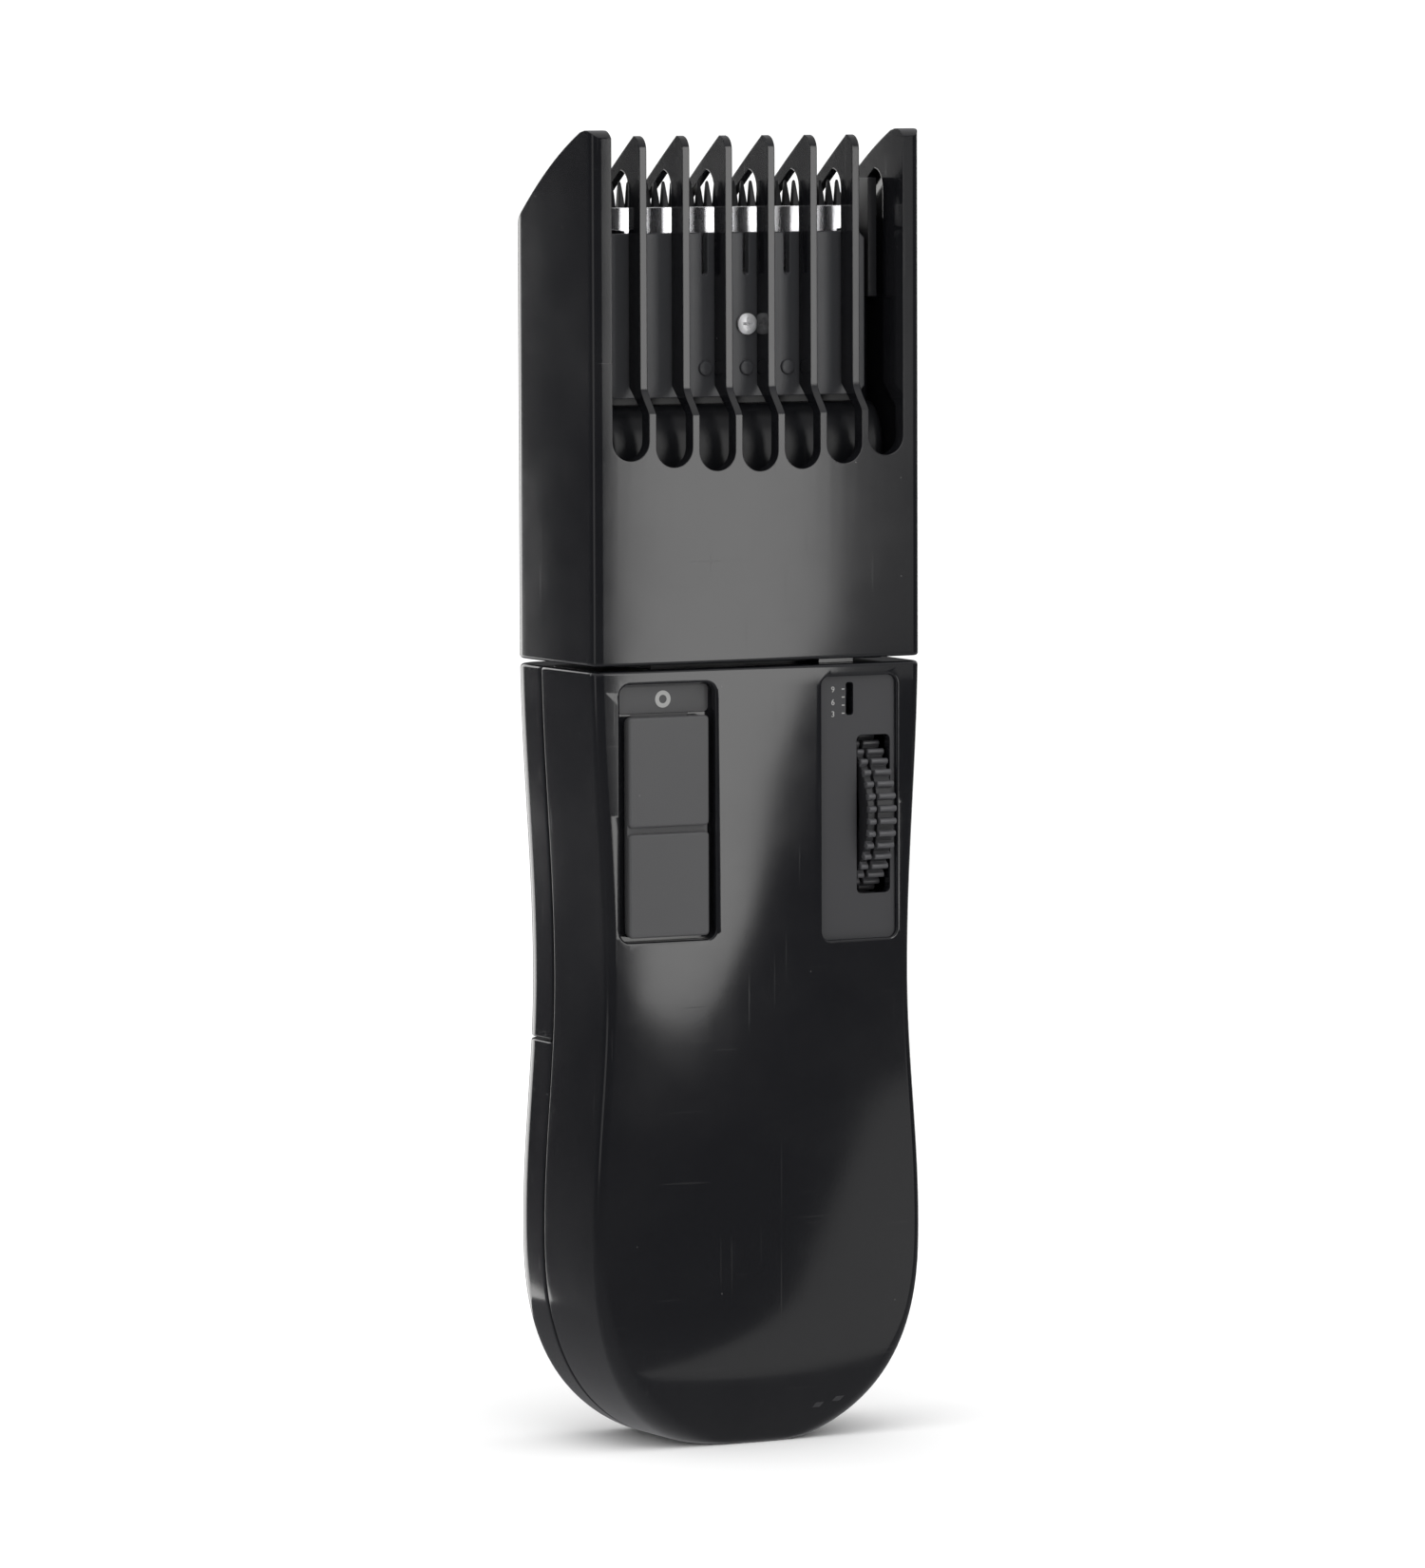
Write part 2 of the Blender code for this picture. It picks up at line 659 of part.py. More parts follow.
def make_rocker_pin(material, root):
    bm = bmesh.new()
    rod(bm, "Y", 0, PIVOT_Z, PIVOT_RADIUS, NECK_FRONT + 0.2, NECK_REAR - 0.2, 16)
    return piece("rocker_pin", bm, material, origin=(0, DRIVE_Y, PIVOT_Z), parent=root, smooth=True)


def make_motor_bracket(material, root):
    """A strap over the motor with a leg down its left side and a back plate."""
    bm = bmesh.new()
    box(bm, -9.6, 8.2, -4.5, 8.9, MOTOR_Z[1] + SEAM, MOTOR_Z[1] + 1.3)
    bracket = piece("motor_bracket", bm, material, parent=root)
    join_box(bracket, -9.6, -8.2, -3.0, 6.0, 64.5, MOTOR_Z[1] + 0.9)
    join_box(bracket, -6.0, 6.0, 7.9, 8.9, 64.5, MOTOR_Z[1] + 0.9)
    cut_rod(bracket, "Z", 0, DRIVE_Y, 4.1, 80, 90, 20)
    return bracket


# ---------------------------------------------------------------- comb length drive


def gear_outline(radius, teeth, height, root_drop, turn=0.0):
    points = []
    step = 2 * math.pi / teeth
    for i in range(teeth):
        middle = turn + i * step
        for share, reach in ((-0.3, -root_drop), (-0.13, height), (0.13, height), (0.3, -root_drop)):
            angle = middle + share * step
            points.append(((radius + reach) * math.cos(angle), (radius + reach) * math.sin(angle)))
    return points


def make_thumbwheel(material, axis):
    """The wheel turns about X; its ribs run across the rim."""
    steps = []
    step = 2 * math.pi / WHEEL_RIBS
    for i in range(WHEEL_RIBS):
        for share, reach in ((-0.3, 0.0), (-0.2, -0.65), (0.2, -0.65), (0.3, 0.0)):
            angle = (i + share) * step
            radius = WHEEL_RADIUS + reach
            steps.append((WHEEL_Y + radius * math.cos(angle), WHEEL_Z + radius * math.sin(angle)))
    bm = bmesh.new()
    prism(bm, steps, "X", *WHEEL_X)
    origin = ((WHEEL_X[0] + WHEEL_X[1]) / 2, WHEEL_Y, WHEEL_Z)
    wheel = piece("length_wheel", bm, material, origin=origin, parent=axis)
    cut_rod(wheel, "X", WHEEL_Y, WHEEL_Z, 1.3, 10, 20, 16)
    bm = bmesh.new()
    prism(bm, circle(WHEEL_Y, WHEEL_Z, 7.6, 28), "X", WHEEL_X[0] - 1, WHEEL_X[0] + 1.2)
    cut(wheel, bm, smooth=True)
    join_rod(wheel, "X", WHEEL_Y, WHEEL_Z, 2.6, WHEEL_X[0], WHEEL_X[0] + 2, 16)
    cut_rod(wheel, "X", WHEEL_Y, WHEEL_Z, 1.3, 10, 20, 16)
    return wheel


def make_pinion(material, axis):
    outline = [
        (WHEEL_Y + u, WHEEL_Z + v) for u, v in gear_outline(PINION_RADIUS, PINION_TEETH, 0.45, 0.65)
    ]
    bm = bmesh.new()
    prism(bm, outline, "X", *PINION_X)
    origin = ((PINION_X[0] + PINION_X[1]) / 2, WHEEL_Y, WHEEL_Z)
    pinion = piece("length_pinion", bm, material, origin=origin, parent=axis)
    cut_rod(pinion, "X", WHEEL_Y, WHEEL_Z, 1.3, 8, 14, 16)
    return pinion


def make_wheel_axle(material, root):
    bm = bmesh.new()
    rod(bm, "X", WHEEL_Y, WHEEL_Z, 1.0, 7.9, 17.7, 16)
    origin = (12.8, WHEEL_Y, WHEEL_Z)
    return piece("wheel_axle", bm, material, origin=origin, parent=root, smooth=True)


def make_wheel_bracket(material, root):
    bm = bmesh.new()
    box(bm, 7.95, 8.7, -6.6, 8.9, 66.5, 80.5)
    bracket = piece("wheel_bracket", bm, material, parent=root)
    join_box(bracket, 7.95, 11.6, 8.0, 8.9, 66.5, 80.5)
    cut_rod(bracket, "X", WHEEL_Y, WHEEL_Z, 1.3, 7, 10, 16)
    return bracket


def make_comb_carriage(material, parent):
    """A rack bar behind the panel that carries the clip plate for the comb."""
    pitch = 2 * math.pi * PINION_RADIUS / PINION_TEETH
    foot = RACK_PITCH_Y - 0.65
    outline = [(RACK_FRONT, 94.0), (RACK_FRONT, 59.6), (foot, 59.6)]
    for i in range(-7, 2):
        # A rack gap faces the pinion tooth that lies on the line of centres.
        middle = WHEEL_Z + (i + 0.5) * pitch
        outline.append((foot, middle - 0.3 * pitch))
        outline.append((RACK_PITCH_Y + 0.45, middle - 0.12 * pitch))
        outline.append((RACK_PITCH_Y + 0.45, middle + 0.12 * pitch))
        outline.append((foot, middle + 0.3 * pitch))
    # The bar is thinner above its teeth, where it passes in front of the head.
    outline += [(foot, 79.0), (RACK_FRONT + 1.0, 80.0), (RACK_FRONT + 1.0, 94.0)]
    bm = bmesh.new()
    prism(bm, outline, "X", *RACK_X)
    carriage = piece("comb_carriage", bm, material, origin=(0, RACK_FRONT, 92.2), parent=parent)
    join_box(carriage, RACK_X[1] - 0.1, 12.85, RACK_FRONT, RACK_FRONT + 1.0, 85.0, 94.0)
    join_box(carriage, -13.0, 13.0, -8.85, -7.75, 92.4, CARRIAGE_TOP)
    cut_box(carriage, -9.0, 8.0, -10, -7, 96.0, CARRIAGE_TOP - 4)
    # The recess for the pointer inlay.
    cut_box(carriage, 11.6, 12.6, -9.5, -8.3, 85.7, 87.1)
    return carriage


def make_length_pointer(material, parent):
    bm = bmesh.new()
    box(bm, 11.8, 12.4, RACK_FRONT - 0.1, RACK_FRONT + 0.25, 85.9, 86.9)
    return piece("length_pointer", bm, material, origin=(12.1, RACK_FRONT, 86.4), parent=parent)


# ---------------------------------------------------------------- guide comb


def comb_top(y):
    """Height of the sloping top edge of the cheeks and fins at depth y."""
    back = max(0.0, y + 8.0)
    return COMB_TIP - 0.43 * back - 0.012 * back**2


def fin_top(y):
    """Height of the top edge of the inner fins, which slope more steeply than the cheeks."""
    back = max(0.0, y + 8.0)
    return COMB_TIP - 0.62 * back - 0.004 * back**2


def comb_rings(inset, z0, z1):
    args = (SHOULDER_HALF - inset, FRONT_Y + inset, REAR_Y - inset)
    front_radius = max(FRONT_EDGE_RADIUS - inset, 0.5)
    rear_radius = COMB_REAR_RADIUS - inset / 2
    return [ring(z, *args, front_radius, rear_radius, FACE_CROWN, SIDE_DRAFT) for z in (z0, z1)]


def make_guide_comb(material, parent):
    bm = bmesh.new()
    loft(bm, comb_rings(0.0, COMB_BOTTOM, COMB_TIP + 3))
    origin = (0, 0, COMB_BOTTOM)
    comb = piece("guide_comb", bm, material, origin=origin, parent=parent, smooth=True)
    bm = bmesh.new()
    loft(bm, comb_rings(WALL, COMB_BOTTOM - 3, COMB_TIP + 6))
    cut(comb, bm, smooth=True)

    # Blank for the fins: front posts and the roof that runs back over the blades.
    depths = [-4.6 + (9.4 + 4.6) * i / 7 for i in range(8)]
    blank = [(-9.8, COMB_TIP + 1), (-9.8, 121.2), (-9.0, 121.2), (FIN_BACK, 124.2), (FIN_BACK, 148.2)]
    blank += [(y, fin_top(y) - ROOF) for y in depths]
    blank += [(9.4, COMB_TIP + 1)]
    bm = bmesh.new()
    prism(bm, blank, "X", -20.4, 20.4)
    join(comb, bm)

    # The fins stand back from the panel above an S-shaped step.
    edge = SLOT_PITCH * SLOTS / 2 - FIN / 2
    step = [(-12.5, COMB_TIP + 8), (-12.5, 120.0)]
    for i in range(7):
        t = i / 6
        step.append((-11.3 + (FIN_FRONT + 11.3) * ease(t), 120.0 + 4.6 * t))
    step.append((FIN_FRONT, COMB_TIP + 8))
    cut_prism(comb, step, "X", -edge, edge)

    # Sloping top edge.
    top = [(-13, COMB_TIP + 12), (-13, 151.8), (FRONT_Y, 151.8)]
    top += arc(FRONT_Y + 2.2, 151.8, 2.2, 180, 90, 5)
    top += [(y, comb_top(y)) for y in [-8.0 + 20.5 * i / 8 for i in range(9)]]
    top.append((12.5, COMB_TIP + 12))
    cut_prism(comb, top, "X", -25, 25)

    steep = [(y, fin_top(y)) for y in [-8.0 + 17.0 * i / 6 for i in range(7)]]
    cut_prism(comb, steep + [(9.0, COMB_TIP + 12), (-8.0, COMB_TIP + 12)], "X", -edge, edge)

    width = SLOT_PITCH - FIN
    for i in range(SLOTS):
        x = (i - (SLOTS - 1) / 2) * SLOT_PITCH
        floor = SLOT_FLOOR + SLOT_FLOOR_ARCH * (x / (SLOT_PITCH * 3)) ** 2
        outline = arc(x, floor + width / 2, width / 2, 180, 360, 8)
        outline += [(x + width / 2, COMB_TIP + 9), (x - width / 2, COMB_TIP + 9)]
        cut_prism(comb, outline, "Y", -13, 9.0)
    return comb


# ---------------------------------------------------------------- switch


def make_switch(pad_material, brass, board_material, root, axis):
    bm = bmesh.new()
    pad = rounded_rectangle(SWITCH_X, SWITCH_PAD_Z, *SWITCH_PAD, 0.8)
    prism(bm, pad, "Y", SWITCH_FLOOR_Y - SEAM, FRONT_Y - 0.1)
    origin = (SWITCH_X, SWITCH_FLOOR_Y, SWITCH_PAD_Z)
    slider = piece("switch_slider", bm, pad_material, origin=origin, parent=axis)
    cut_box(slider, -20, -5, -12, -10.5, SWITCH_GROOVE_Z - 0.35, SWITCH_GROOVE_Z + 0.35)
    join_box(slider, SWITCH_X - 1.6, SWITCH_X + 1.6, -10.2, -6.6, 68.4, 77.0)

    bm = bmesh.new()
    box(bm, SWITCH_X - 2.4, SWITCH_X + 2.4, -6.3, -5.8, 67.5, 78.0)
    contact = piece("switch_contact", bm, brass, origin=(SWITCH_X, -6.0, 72.5), parent=axis)
    join_box(contact, SWITCH_X - 0.8, SWITCH_X + 0.8, -6.1, -5.45, 75.5, 77.0)

    bm = bmesh.new()
    box(bm, SWITCH_X - 3.6, SWITCH_X + 2.0, -5.0, -4.0, 65.5, 84.0)
    board = piece("switch_board", bm, board_material, parent=root)
    join_box(board, SWITCH_X - 3.6, SWITCH_X - 2.8, -7.6, -4.5, 65.5, 84.0)
    return slider


# ---------------------------------------------------------------- batteries


def make_cell(name, material, root, x, bottom, terminal_up):
    """An AA cell; its terminal end is up or down."""
    low, high = bottom, bottom + CELL_LENGTH
    nib = 1.0
    if terminal_up:
        profile = [(low, 6.6), (low + 0.4, CELL_RADIUS), (high - nib - 0.5, CELL_RADIUS), (high - nib, 6.4)]
        profile += [(high - nib + 0.01, 2.7), (high, 2.5)]
    else:
        profile = [(low, 2.5), (low + nib - 0.01, 2.7), (low + nib, 6.4), (low + nib + 0.5, CELL_RADIUS)]
        profile += [(high - 0.4, CELL_RADIUS), (high, 6.6)]
    bm = bmesh.new()
    turned(bm, "Z", x, CELL_Y, profile, 28)
    return piece(name, bm, material, origin=(x, CELL_Y, low), parent=root, smooth=True)


def make_spring(name, material, root, x, low, high):
    """A conical battery spring wound as a curve."""
    wire = 0.28
    turns, points = 2.5, 12
    curve = bpy.data.curves.new(name, "CURVE")
    curve.dimensions = "3D"
    curve.bevel_depth = wire * MM
    curve.bevel_resolution = 1
    curve.use_fill_caps = True
    curve.materials.append(material)
    spline = curve.splines.new("POLY")
    total = int(turns * points)
    spline.points.add(total)
    for i in range(total + 1):
        t = i / total
        angle = 2 * math.pi * turns * t
        radius = 4.6 - 2.4 * t
        z = low + wire + (high - low - 2 * wire) * t
        at = (radius * math.cos(angle) * MM, radius * math.sin(angle) * MM, (z - low) * MM, 1.0)
        spline.points[i].co = at
    obj = bpy.data.objects.new(name, curve)
    bpy.context.collection.objects.link(obj)
    place(obj, (x, CELL_Y, low), root)
    return obj


def make_plate(name, material, root, x0, x1, z0, z1):
    bm = bmesh.new()
    box(bm, x0, x1, CELL_Y - 4.5, CELL_Y + 4.5, z0, z1)
    return piece(name, bm, material, parent=root)


def make_batteries(wrap, nickel, tray_material, root):
    make_cell("battery_cell_left", wrap, root, -CELL_X, LEFT_CELL_BOTTOM, True)
    make_cell("battery_cell_right", wrap, root, CELL_X, RIGHT_CELL_BOTTOM, False)
    make_plate("contact_bridge", nickel, root, -12.5, 12.5, 8.6, 9.1)
    make_plate("contact_plus", nickel, root, -11.5, -3.5, 61.9, 62.3)
    make_plate("contact_minus", nickel, root, 3.5, 11.5, 62.0, 62.4)
    make_spring("battery_spring_left", nickel, root, -CELL_X, 9.3, 10.9)
    make_spring("battery_spring_right", nickel, root, CELL_X, 60.3, 61.8)
    bm = bmesh.new()
    box(bm, -12.2, 11.6, -5.0, 8.8, 62.7, 64.1)
    piece("battery_bulkhead", bm, tray_material, parent=root)


def make_wire(name, material, root, points):
    """A short insulated lead along points chosen by hand."""
    curve = bpy.data.curves.new(name, "CURVE")
    curve.dimensions = "3D"
    curve.bevel_depth = 0.45 * MM
    curve.bevel_resolution = 1
    curve.resolution_u = 3
    curve.use_fill_caps = True
    curve.materials.append(material)
    spline = curve.splines.new("NURBS")
    spline.points.add(len(points) - 1)
    for target, point in zip(spline.points, points):
        target.co = (*(Vector(point) * MM), 1.0)
    spline.use_endpoint_u = True
    spline.order_u = 3
    obj = bpy.data.objects.new(name, curve)
    bpy.context.collection.objects.link(obj)
    place(obj, (0, 0, 0), root)
    return obj


# ---------------------------------------------------------------- assembly


def main():
    clear_scene()
    gloss = make_material("gloss_black_plastic", (0.012, 0.012, 0.014), 0.18)
    inner = make_material("black_moulding", (0.02, 0.02, 0.022), 0.45)
    grey = make_material("grey_moulding", (0.09, 0.09, 0.095), 0.5)
    pad = make_material("matte_grey_pad", (0.075, 0.077, 0.08), 0.55)
    steel = make_material("ground_steel", (0.62, 0.62, 0.63), 0.25, 1.0)
    nickel = make_material("nickel_plate", (0.7, 0.68, 0.64), 0.3, 1.0)
    brass = make_material("contact_brass", (0.72, 0.55, 0.25), 0.3, 1.0)
    copper = make_material("winding_copper", (0.62, 0.3, 0.14), 0.35, 1.0)
    white = make_material("white_nylon", (0.75, 0.74, 0.7), 0.5)
    wrap = make_material("cell_wrap", (0.05, 0.16, 0.1), 0.4)
    red = make_material("red_insulation", (0.5, 0.02, 0.02), 0.5)
    blue = make_material("blue_insulation", (0.03, 0.06, 0.35), 0.5)

    root = axis_empty("handle_frame", (0, 0, 0), None)
    cover_axis = axis_empty("battery_cover_slide", (0, REAR_Y, COVER_TOP / 2), root)
    switch_axis = axis_empty("switch_slide", (SWITCH_X, FRONT_Y, SWITCH_PAD_Z), root)
    wheel_axis = axis_empty("length_wheel_axis", (0, WHEEL_Y, WHEEL_Z), root)
    carriage_axis = axis_empty("comb_carriage_slide", (0, RACK_FRONT, CARRIAGE_TOP), root)
    comb_axis = axis_empty("guide_comb_slide", (0, 0, COMB_BOTTOM), carriage_axis)
    rocker_axis = axis_empty("drive_rocker_axis", (0, DRIVE_Y, PIVOT_Z), root)
    blade_axis = axis_empty("moving_blade_slide", (0, MOVING_Y, 141.0), root)
    spin_axis = axis_empty("motor_spin_axis", (0, DRIVE_Y, MOTOR_Z[0]), root)

    make_front_shell(gloss, root)
    make_rear_shell(gloss, root)
    make_battery_cover(gloss, cover_axis)
    make_head_housing(gloss, root)
    make_head_plate(grey, root)
    make_screw("head_plate_screw", steel, root, PLATE_SCREW_X, PLATE_SCREW_Z, -5.5, 1, 1.25, 0.6, 2.9, 0.5)
    for side, word in ((-1, "left"), (1, "right")):
        blade_at = (side * BLADE_SCREW_X, BLADE_SCREW_Z, BLADE_Y + 0.05)
        make_screw(f"blade_screw_{word}", steel, root, *blade_at, 1, 1.6, 0.85, 5.5, 0.75)
        shell_at = (side * SCREW_X, SCREW_Z, REAR_Y - 0.3)
        make_screw(f"shell_screw_{word}", steel, root, *shell_at, -1, 1.85, 0.8, 12.5, 0.95)
    make_fixed_blade(steel, root)
    make_moving_blade(steel, blade_axis)
    make_blade_spring(steel, root)
    make_blade_holder(inner, root)
    make_motor(steel, white, copper, steel, root, spin_axis)
    make_eccentric(white, spin_axis)
    make_rocker(white, rocker_axis)
    make_rocker_pin(steel, root)
    make_motor_bracket(inner, root)
    make_thumbwheel(inner, wheel_axis)
    make_pinion(white, wheel_axis)
    make_wheel_axle(steel, root)
    make_wheel_bracket(inner, root)
    make_comb_carriage(inner, carriage_axis)
    make_length_pointer(white, carriage_axis)
    make_guide_comb(gloss, comb_axis)
    make_switch(pad, brass, inner, root, switch_axis)
    make_batteries(wrap, nickel, inner, root)
    lead_red = [(-12.1, 3.0, 62.2), (-14.2, 4.5, 61.9), (-15.0, 5.0, 66.0)]
    lead_red += [(-14.6, 0.0, 72.0), (-13.6, -3.3, 76.0)]
    make_wire("lead_red", red, root, lead_red)
    lead_blue = [(12.1, 3.0, 62.2), (13.0, 4.5, 61.9), (13.0, 5.5, 65.2), (10.5, 6.0, 65.3), (8.3, 5.5, 65.3)]
    make_wire("lead_blue", blue, root, lead_blue)


main()
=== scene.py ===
"""Looks of the cordless body groomer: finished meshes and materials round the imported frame.

Every length in the shape code is in millimetres; MM turns it into Blender's metres as a mesh is made.
The groomer stands on its base at z = 0, its front faces -Y, and +Z runs up to the comb tips.
"""

import math

import bmesh
import bpy
from mathutils import Matrix, Vector


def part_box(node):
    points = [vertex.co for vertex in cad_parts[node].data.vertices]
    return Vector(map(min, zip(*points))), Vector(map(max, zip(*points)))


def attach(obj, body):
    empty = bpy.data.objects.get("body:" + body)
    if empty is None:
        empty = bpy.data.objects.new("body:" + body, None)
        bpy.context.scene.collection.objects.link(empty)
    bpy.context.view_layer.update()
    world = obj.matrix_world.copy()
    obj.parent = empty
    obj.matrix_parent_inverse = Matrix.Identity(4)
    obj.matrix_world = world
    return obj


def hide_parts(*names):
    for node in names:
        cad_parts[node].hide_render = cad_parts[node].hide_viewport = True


bl_info = {
    "name": "Body groomer looks",
    "version": (1, 0, 0),
    "blender": (4, 5, 0),
    "location": "3D View > Sidebar > Groomer",
    "description": "Builds the finished shells, comb, blades, controls and materials of a body groomer",
    "category": "Object",
}

MM = 0.001
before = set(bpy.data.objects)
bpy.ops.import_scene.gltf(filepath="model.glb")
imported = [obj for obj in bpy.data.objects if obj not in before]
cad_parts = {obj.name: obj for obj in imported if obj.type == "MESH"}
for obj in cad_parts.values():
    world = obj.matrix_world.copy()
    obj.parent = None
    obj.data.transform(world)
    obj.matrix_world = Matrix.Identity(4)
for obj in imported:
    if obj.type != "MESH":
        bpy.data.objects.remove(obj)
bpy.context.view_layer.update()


def box_mm(node):
    """Lowest and highest corner of a CAD node, in millimetres."""
    low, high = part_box(node)
    return Vector(low) / MM, Vector(high) / MM


HANDLE_TOP = box_mm("front_shell")[1].z
REAR_FACE = box_mm("rear_shell")[1].y
HEAD_TOP = box_mm("head_housing")[1].z
COMB_LOW, COMB_HIGH = box_mm("guide_comb")
PLATE_LOW, PLATE_HIGH = box_mm("head_plate")
BLADE_LOW, BLADE_HIGH = box_mm("fixed_blade")
MOVING_LOW, MOVING_HIGH = box_mm("moving_blade")
PAD_LOW, PAD_HIGH = box_mm("switch_slider")
WHEEL_LOW, WHEEL_HIGH = box_mm("length_wheel")
PAD_X = (PAD_LOW.x + PAD_HIGH.x) / 2

# Handle outline.
ROUND_END_POWER = 2.45
ROUND_END_RADIUS = 26.0
BELLY_Z = 25.0
WAIST_Z = 55.0
SHOULDER_Z = 95.0
FACE_CROWN = 0.5
SIDE_DRAFT = 0.4
FRONT_EDGE_RADIUS = 1.2
LEDGE = 1.5
# Each tuck draws the faces or the corner in near the base: its height and its depth.
FRONT_TUCK = (18.0, 1.6)
REAR_TUCK = (18.0, 3.0)
EDGE_TUCK = (28.0, 3.6)
HALF_SEAM = 0.15
PARTING_Y = 3.0
COVER_TOP = 47.3
# The neck's tenon in the handle: its half width, its front and its back, then its seat.
TENON = (11.7, -5.5, 7.5)
TENON_GAP = 0.3
SEAT_LOW = 88.0

# Switch pocket and wheel panel.
POCKET_SIZE = (12.25, 30.0)
POCKET_Z = 74.9
POCKET_FLOOR = -9.4
PAD_GROOVE_Z = 72.9
HALF_GROOVE = 0.38
# Outlines on the pocket and panel floors: centre, then width and height.
SWITCH_SLOT = (75.2, 4.0, 15.0)
WHEEL_SLOT = (15.25, 4.3, 18.6)
POINTER_SLOT = (12.1, 87.3, 0.9, 3.8)
MARK_Z = 88.05
RING_MARK_X = -12.1
FIGURE_X = 9.9
FIGURE_SIZE = 0.95
INLAY = 0.03
PANEL_X = 13.05
PANEL_Z = 74.5
PANEL_SIZE = (10.0, 31.0)
PANEL_Y = -10.1

# Neck, head and comb.
NECK_HALF = 18.6
NECK_FRONT = -7.4
NECK_REAR = 8.4
HEAD_FRONT = -3.5
SHOULDER_TOP = 122.0
NECK_WALL = 1.7
PIVOT_Z = 112.0
FIN_FRONT = -8.5
FIN_BACK = -5.6
SLOT_FLOOR = 114.3
SLOT_FLOOR_ARCH = 1.5
SCREW_Z = 87.2
SCREW_BORE = 1.1
SCREW_BOSS = 1.95
PLATE_NOTCH_PITCH = 5.4

# Half size of a cutter that spans the whole groomer.
BIG = 60.0

# Smooth shading stops at edges sharper than this.
SHARP_DEGREES = 38.0

# ---------------------------------------------------------------- settings


def length_setting(name, description, millimetres):
    return bpy.props.FloatProperty(
        name=name, description=description, default=millimetres * MM, unit="LENGTH", precision=5
    )


def colour_setting(name, description, rgb):
    return bpy.props.FloatVectorProperty(
        name=name, description=description, default=rgb, size=3, subtype="COLOR", min=0.0, max=1.0
    )


def angle_setting(name, description, degrees):
    return bpy.props.FloatProperty(
        name=name, description=description, default=math.radians(degrees), subtype="ANGLE"
    )


def level_setting(name, description, level):
    return bpy.props.FloatProperty(name=name, description=description, default=level, min=0.0)


def count_setting(name, description, number):
    return bpy.props.IntProperty(name=name, description=description, default=number, min=1)


class GroomerHandleSettings(bpy.types.PropertyGroup):
    belly_half: length_setting("Belly half width", "Half width of the round lower end", 21.85)
    waist_half: length_setting("Waist half width", "Half width at the narrowest height", 20.4)
    shoulder_half: length_setting("Shoulder half width", "Half width under the comb", 21.9)
    depth_front: length_setting("Front depth", "Distance from the centre to the front face", 11.0)
    depth_rear: length_setting("Rear depth", "Distance from the centre to the rear face", 11.0)
    wall: length_setting("Wall", "Thickness of the moulded shells", 1.8)
    rear_radius: length_setting("Rear corner radius", "Rounding of the handle's rear corners", 3.4)
    comb_radius: length_setting("Comb corner radius", "Rounding of the comb's rear corners", 3.4)
    seam_round: length_setting("Seam rounding", "Rounding of the edges along the seams", 0.22)
    top_round: length_setting("Top rounding", "Rounding of the handle's top edge", 0.45)
    base_round: length_setting("Base rounding", "Rounding of the handle's bottom edge", 0.6)
    mouth_round: length_setting("Recess rounding", "Rounding round the switch and wheel recesses", 0.3)


class GroomerCombSettings(bpy.types.PropertyGroup):
    slots: count_setting("Slots", "Number of hair slots", 7)
    pitch: length_setting("Slot pitch", "Distance between slot centres", 5.57)
    fin: length_setting("Fin thickness", "Thickness of each fin", 0.9)
    roof: length_setting("Roof thickness", "Thickness of the fins above the blades", 1.8)
    rim_round: length_setting("Rim rounding", "Rounding of the comb's lower rim", 0.4)


class GroomerBladeSettings(bpy.types.PropertyGroup):
    teeth: count_setting("Teeth", "Teeth on the fixed blade", 28)
    moving_teeth: count_setting("Moving teeth", "Teeth on the moving blade", 25)
    root: length_setting("Tooth root", "Height of the gaps between the teeth", 145.0)


class GroomerWheelSettings(bpy.types.PropertyGroup):
    ribs: count_setting("Ribs", "Grip ribs round the wheel", 42)
    rib_height: length_setting("Rib height", "How far a rib stands out of the drum", 0.7)
    groove: length_setting("Groove", "Width of the groove round the wheel", 0.45)


class GroomerColourSettings(bpy.types.PropertyGroup):
    gloss: colour_setting("Gloss plastic", "Colour of the shells and the comb", (0.0062, 0.0064, 0.0078))
    satin: colour_setting("Satin plastic", "Colour of the inner mouldings", (0.012, 0.012, 0.014))
    panel: colour_setting("Panel", "Colour of the recessed panel", (0.03, 0.03, 0.033))
    head: colour_setting("Head plate", "Colour of the plate under the blades", (0.045, 0.046, 0.05))
    pad: colour_setting("Switch pad", "Colour of the slide switch", (0.062, 0.062, 0.064))
    wheel: colour_setting("Wheel", "Colour of the ribbed wheel", (0.06, 0.06, 0.064))
    ink: colour_setting("Printed marks", "Colour of the printed marks", (0.36, 0.36, 0.35))
    floor: colour_setting("Floor", "Colour of the floor", (0.96, 0.96, 0.96))


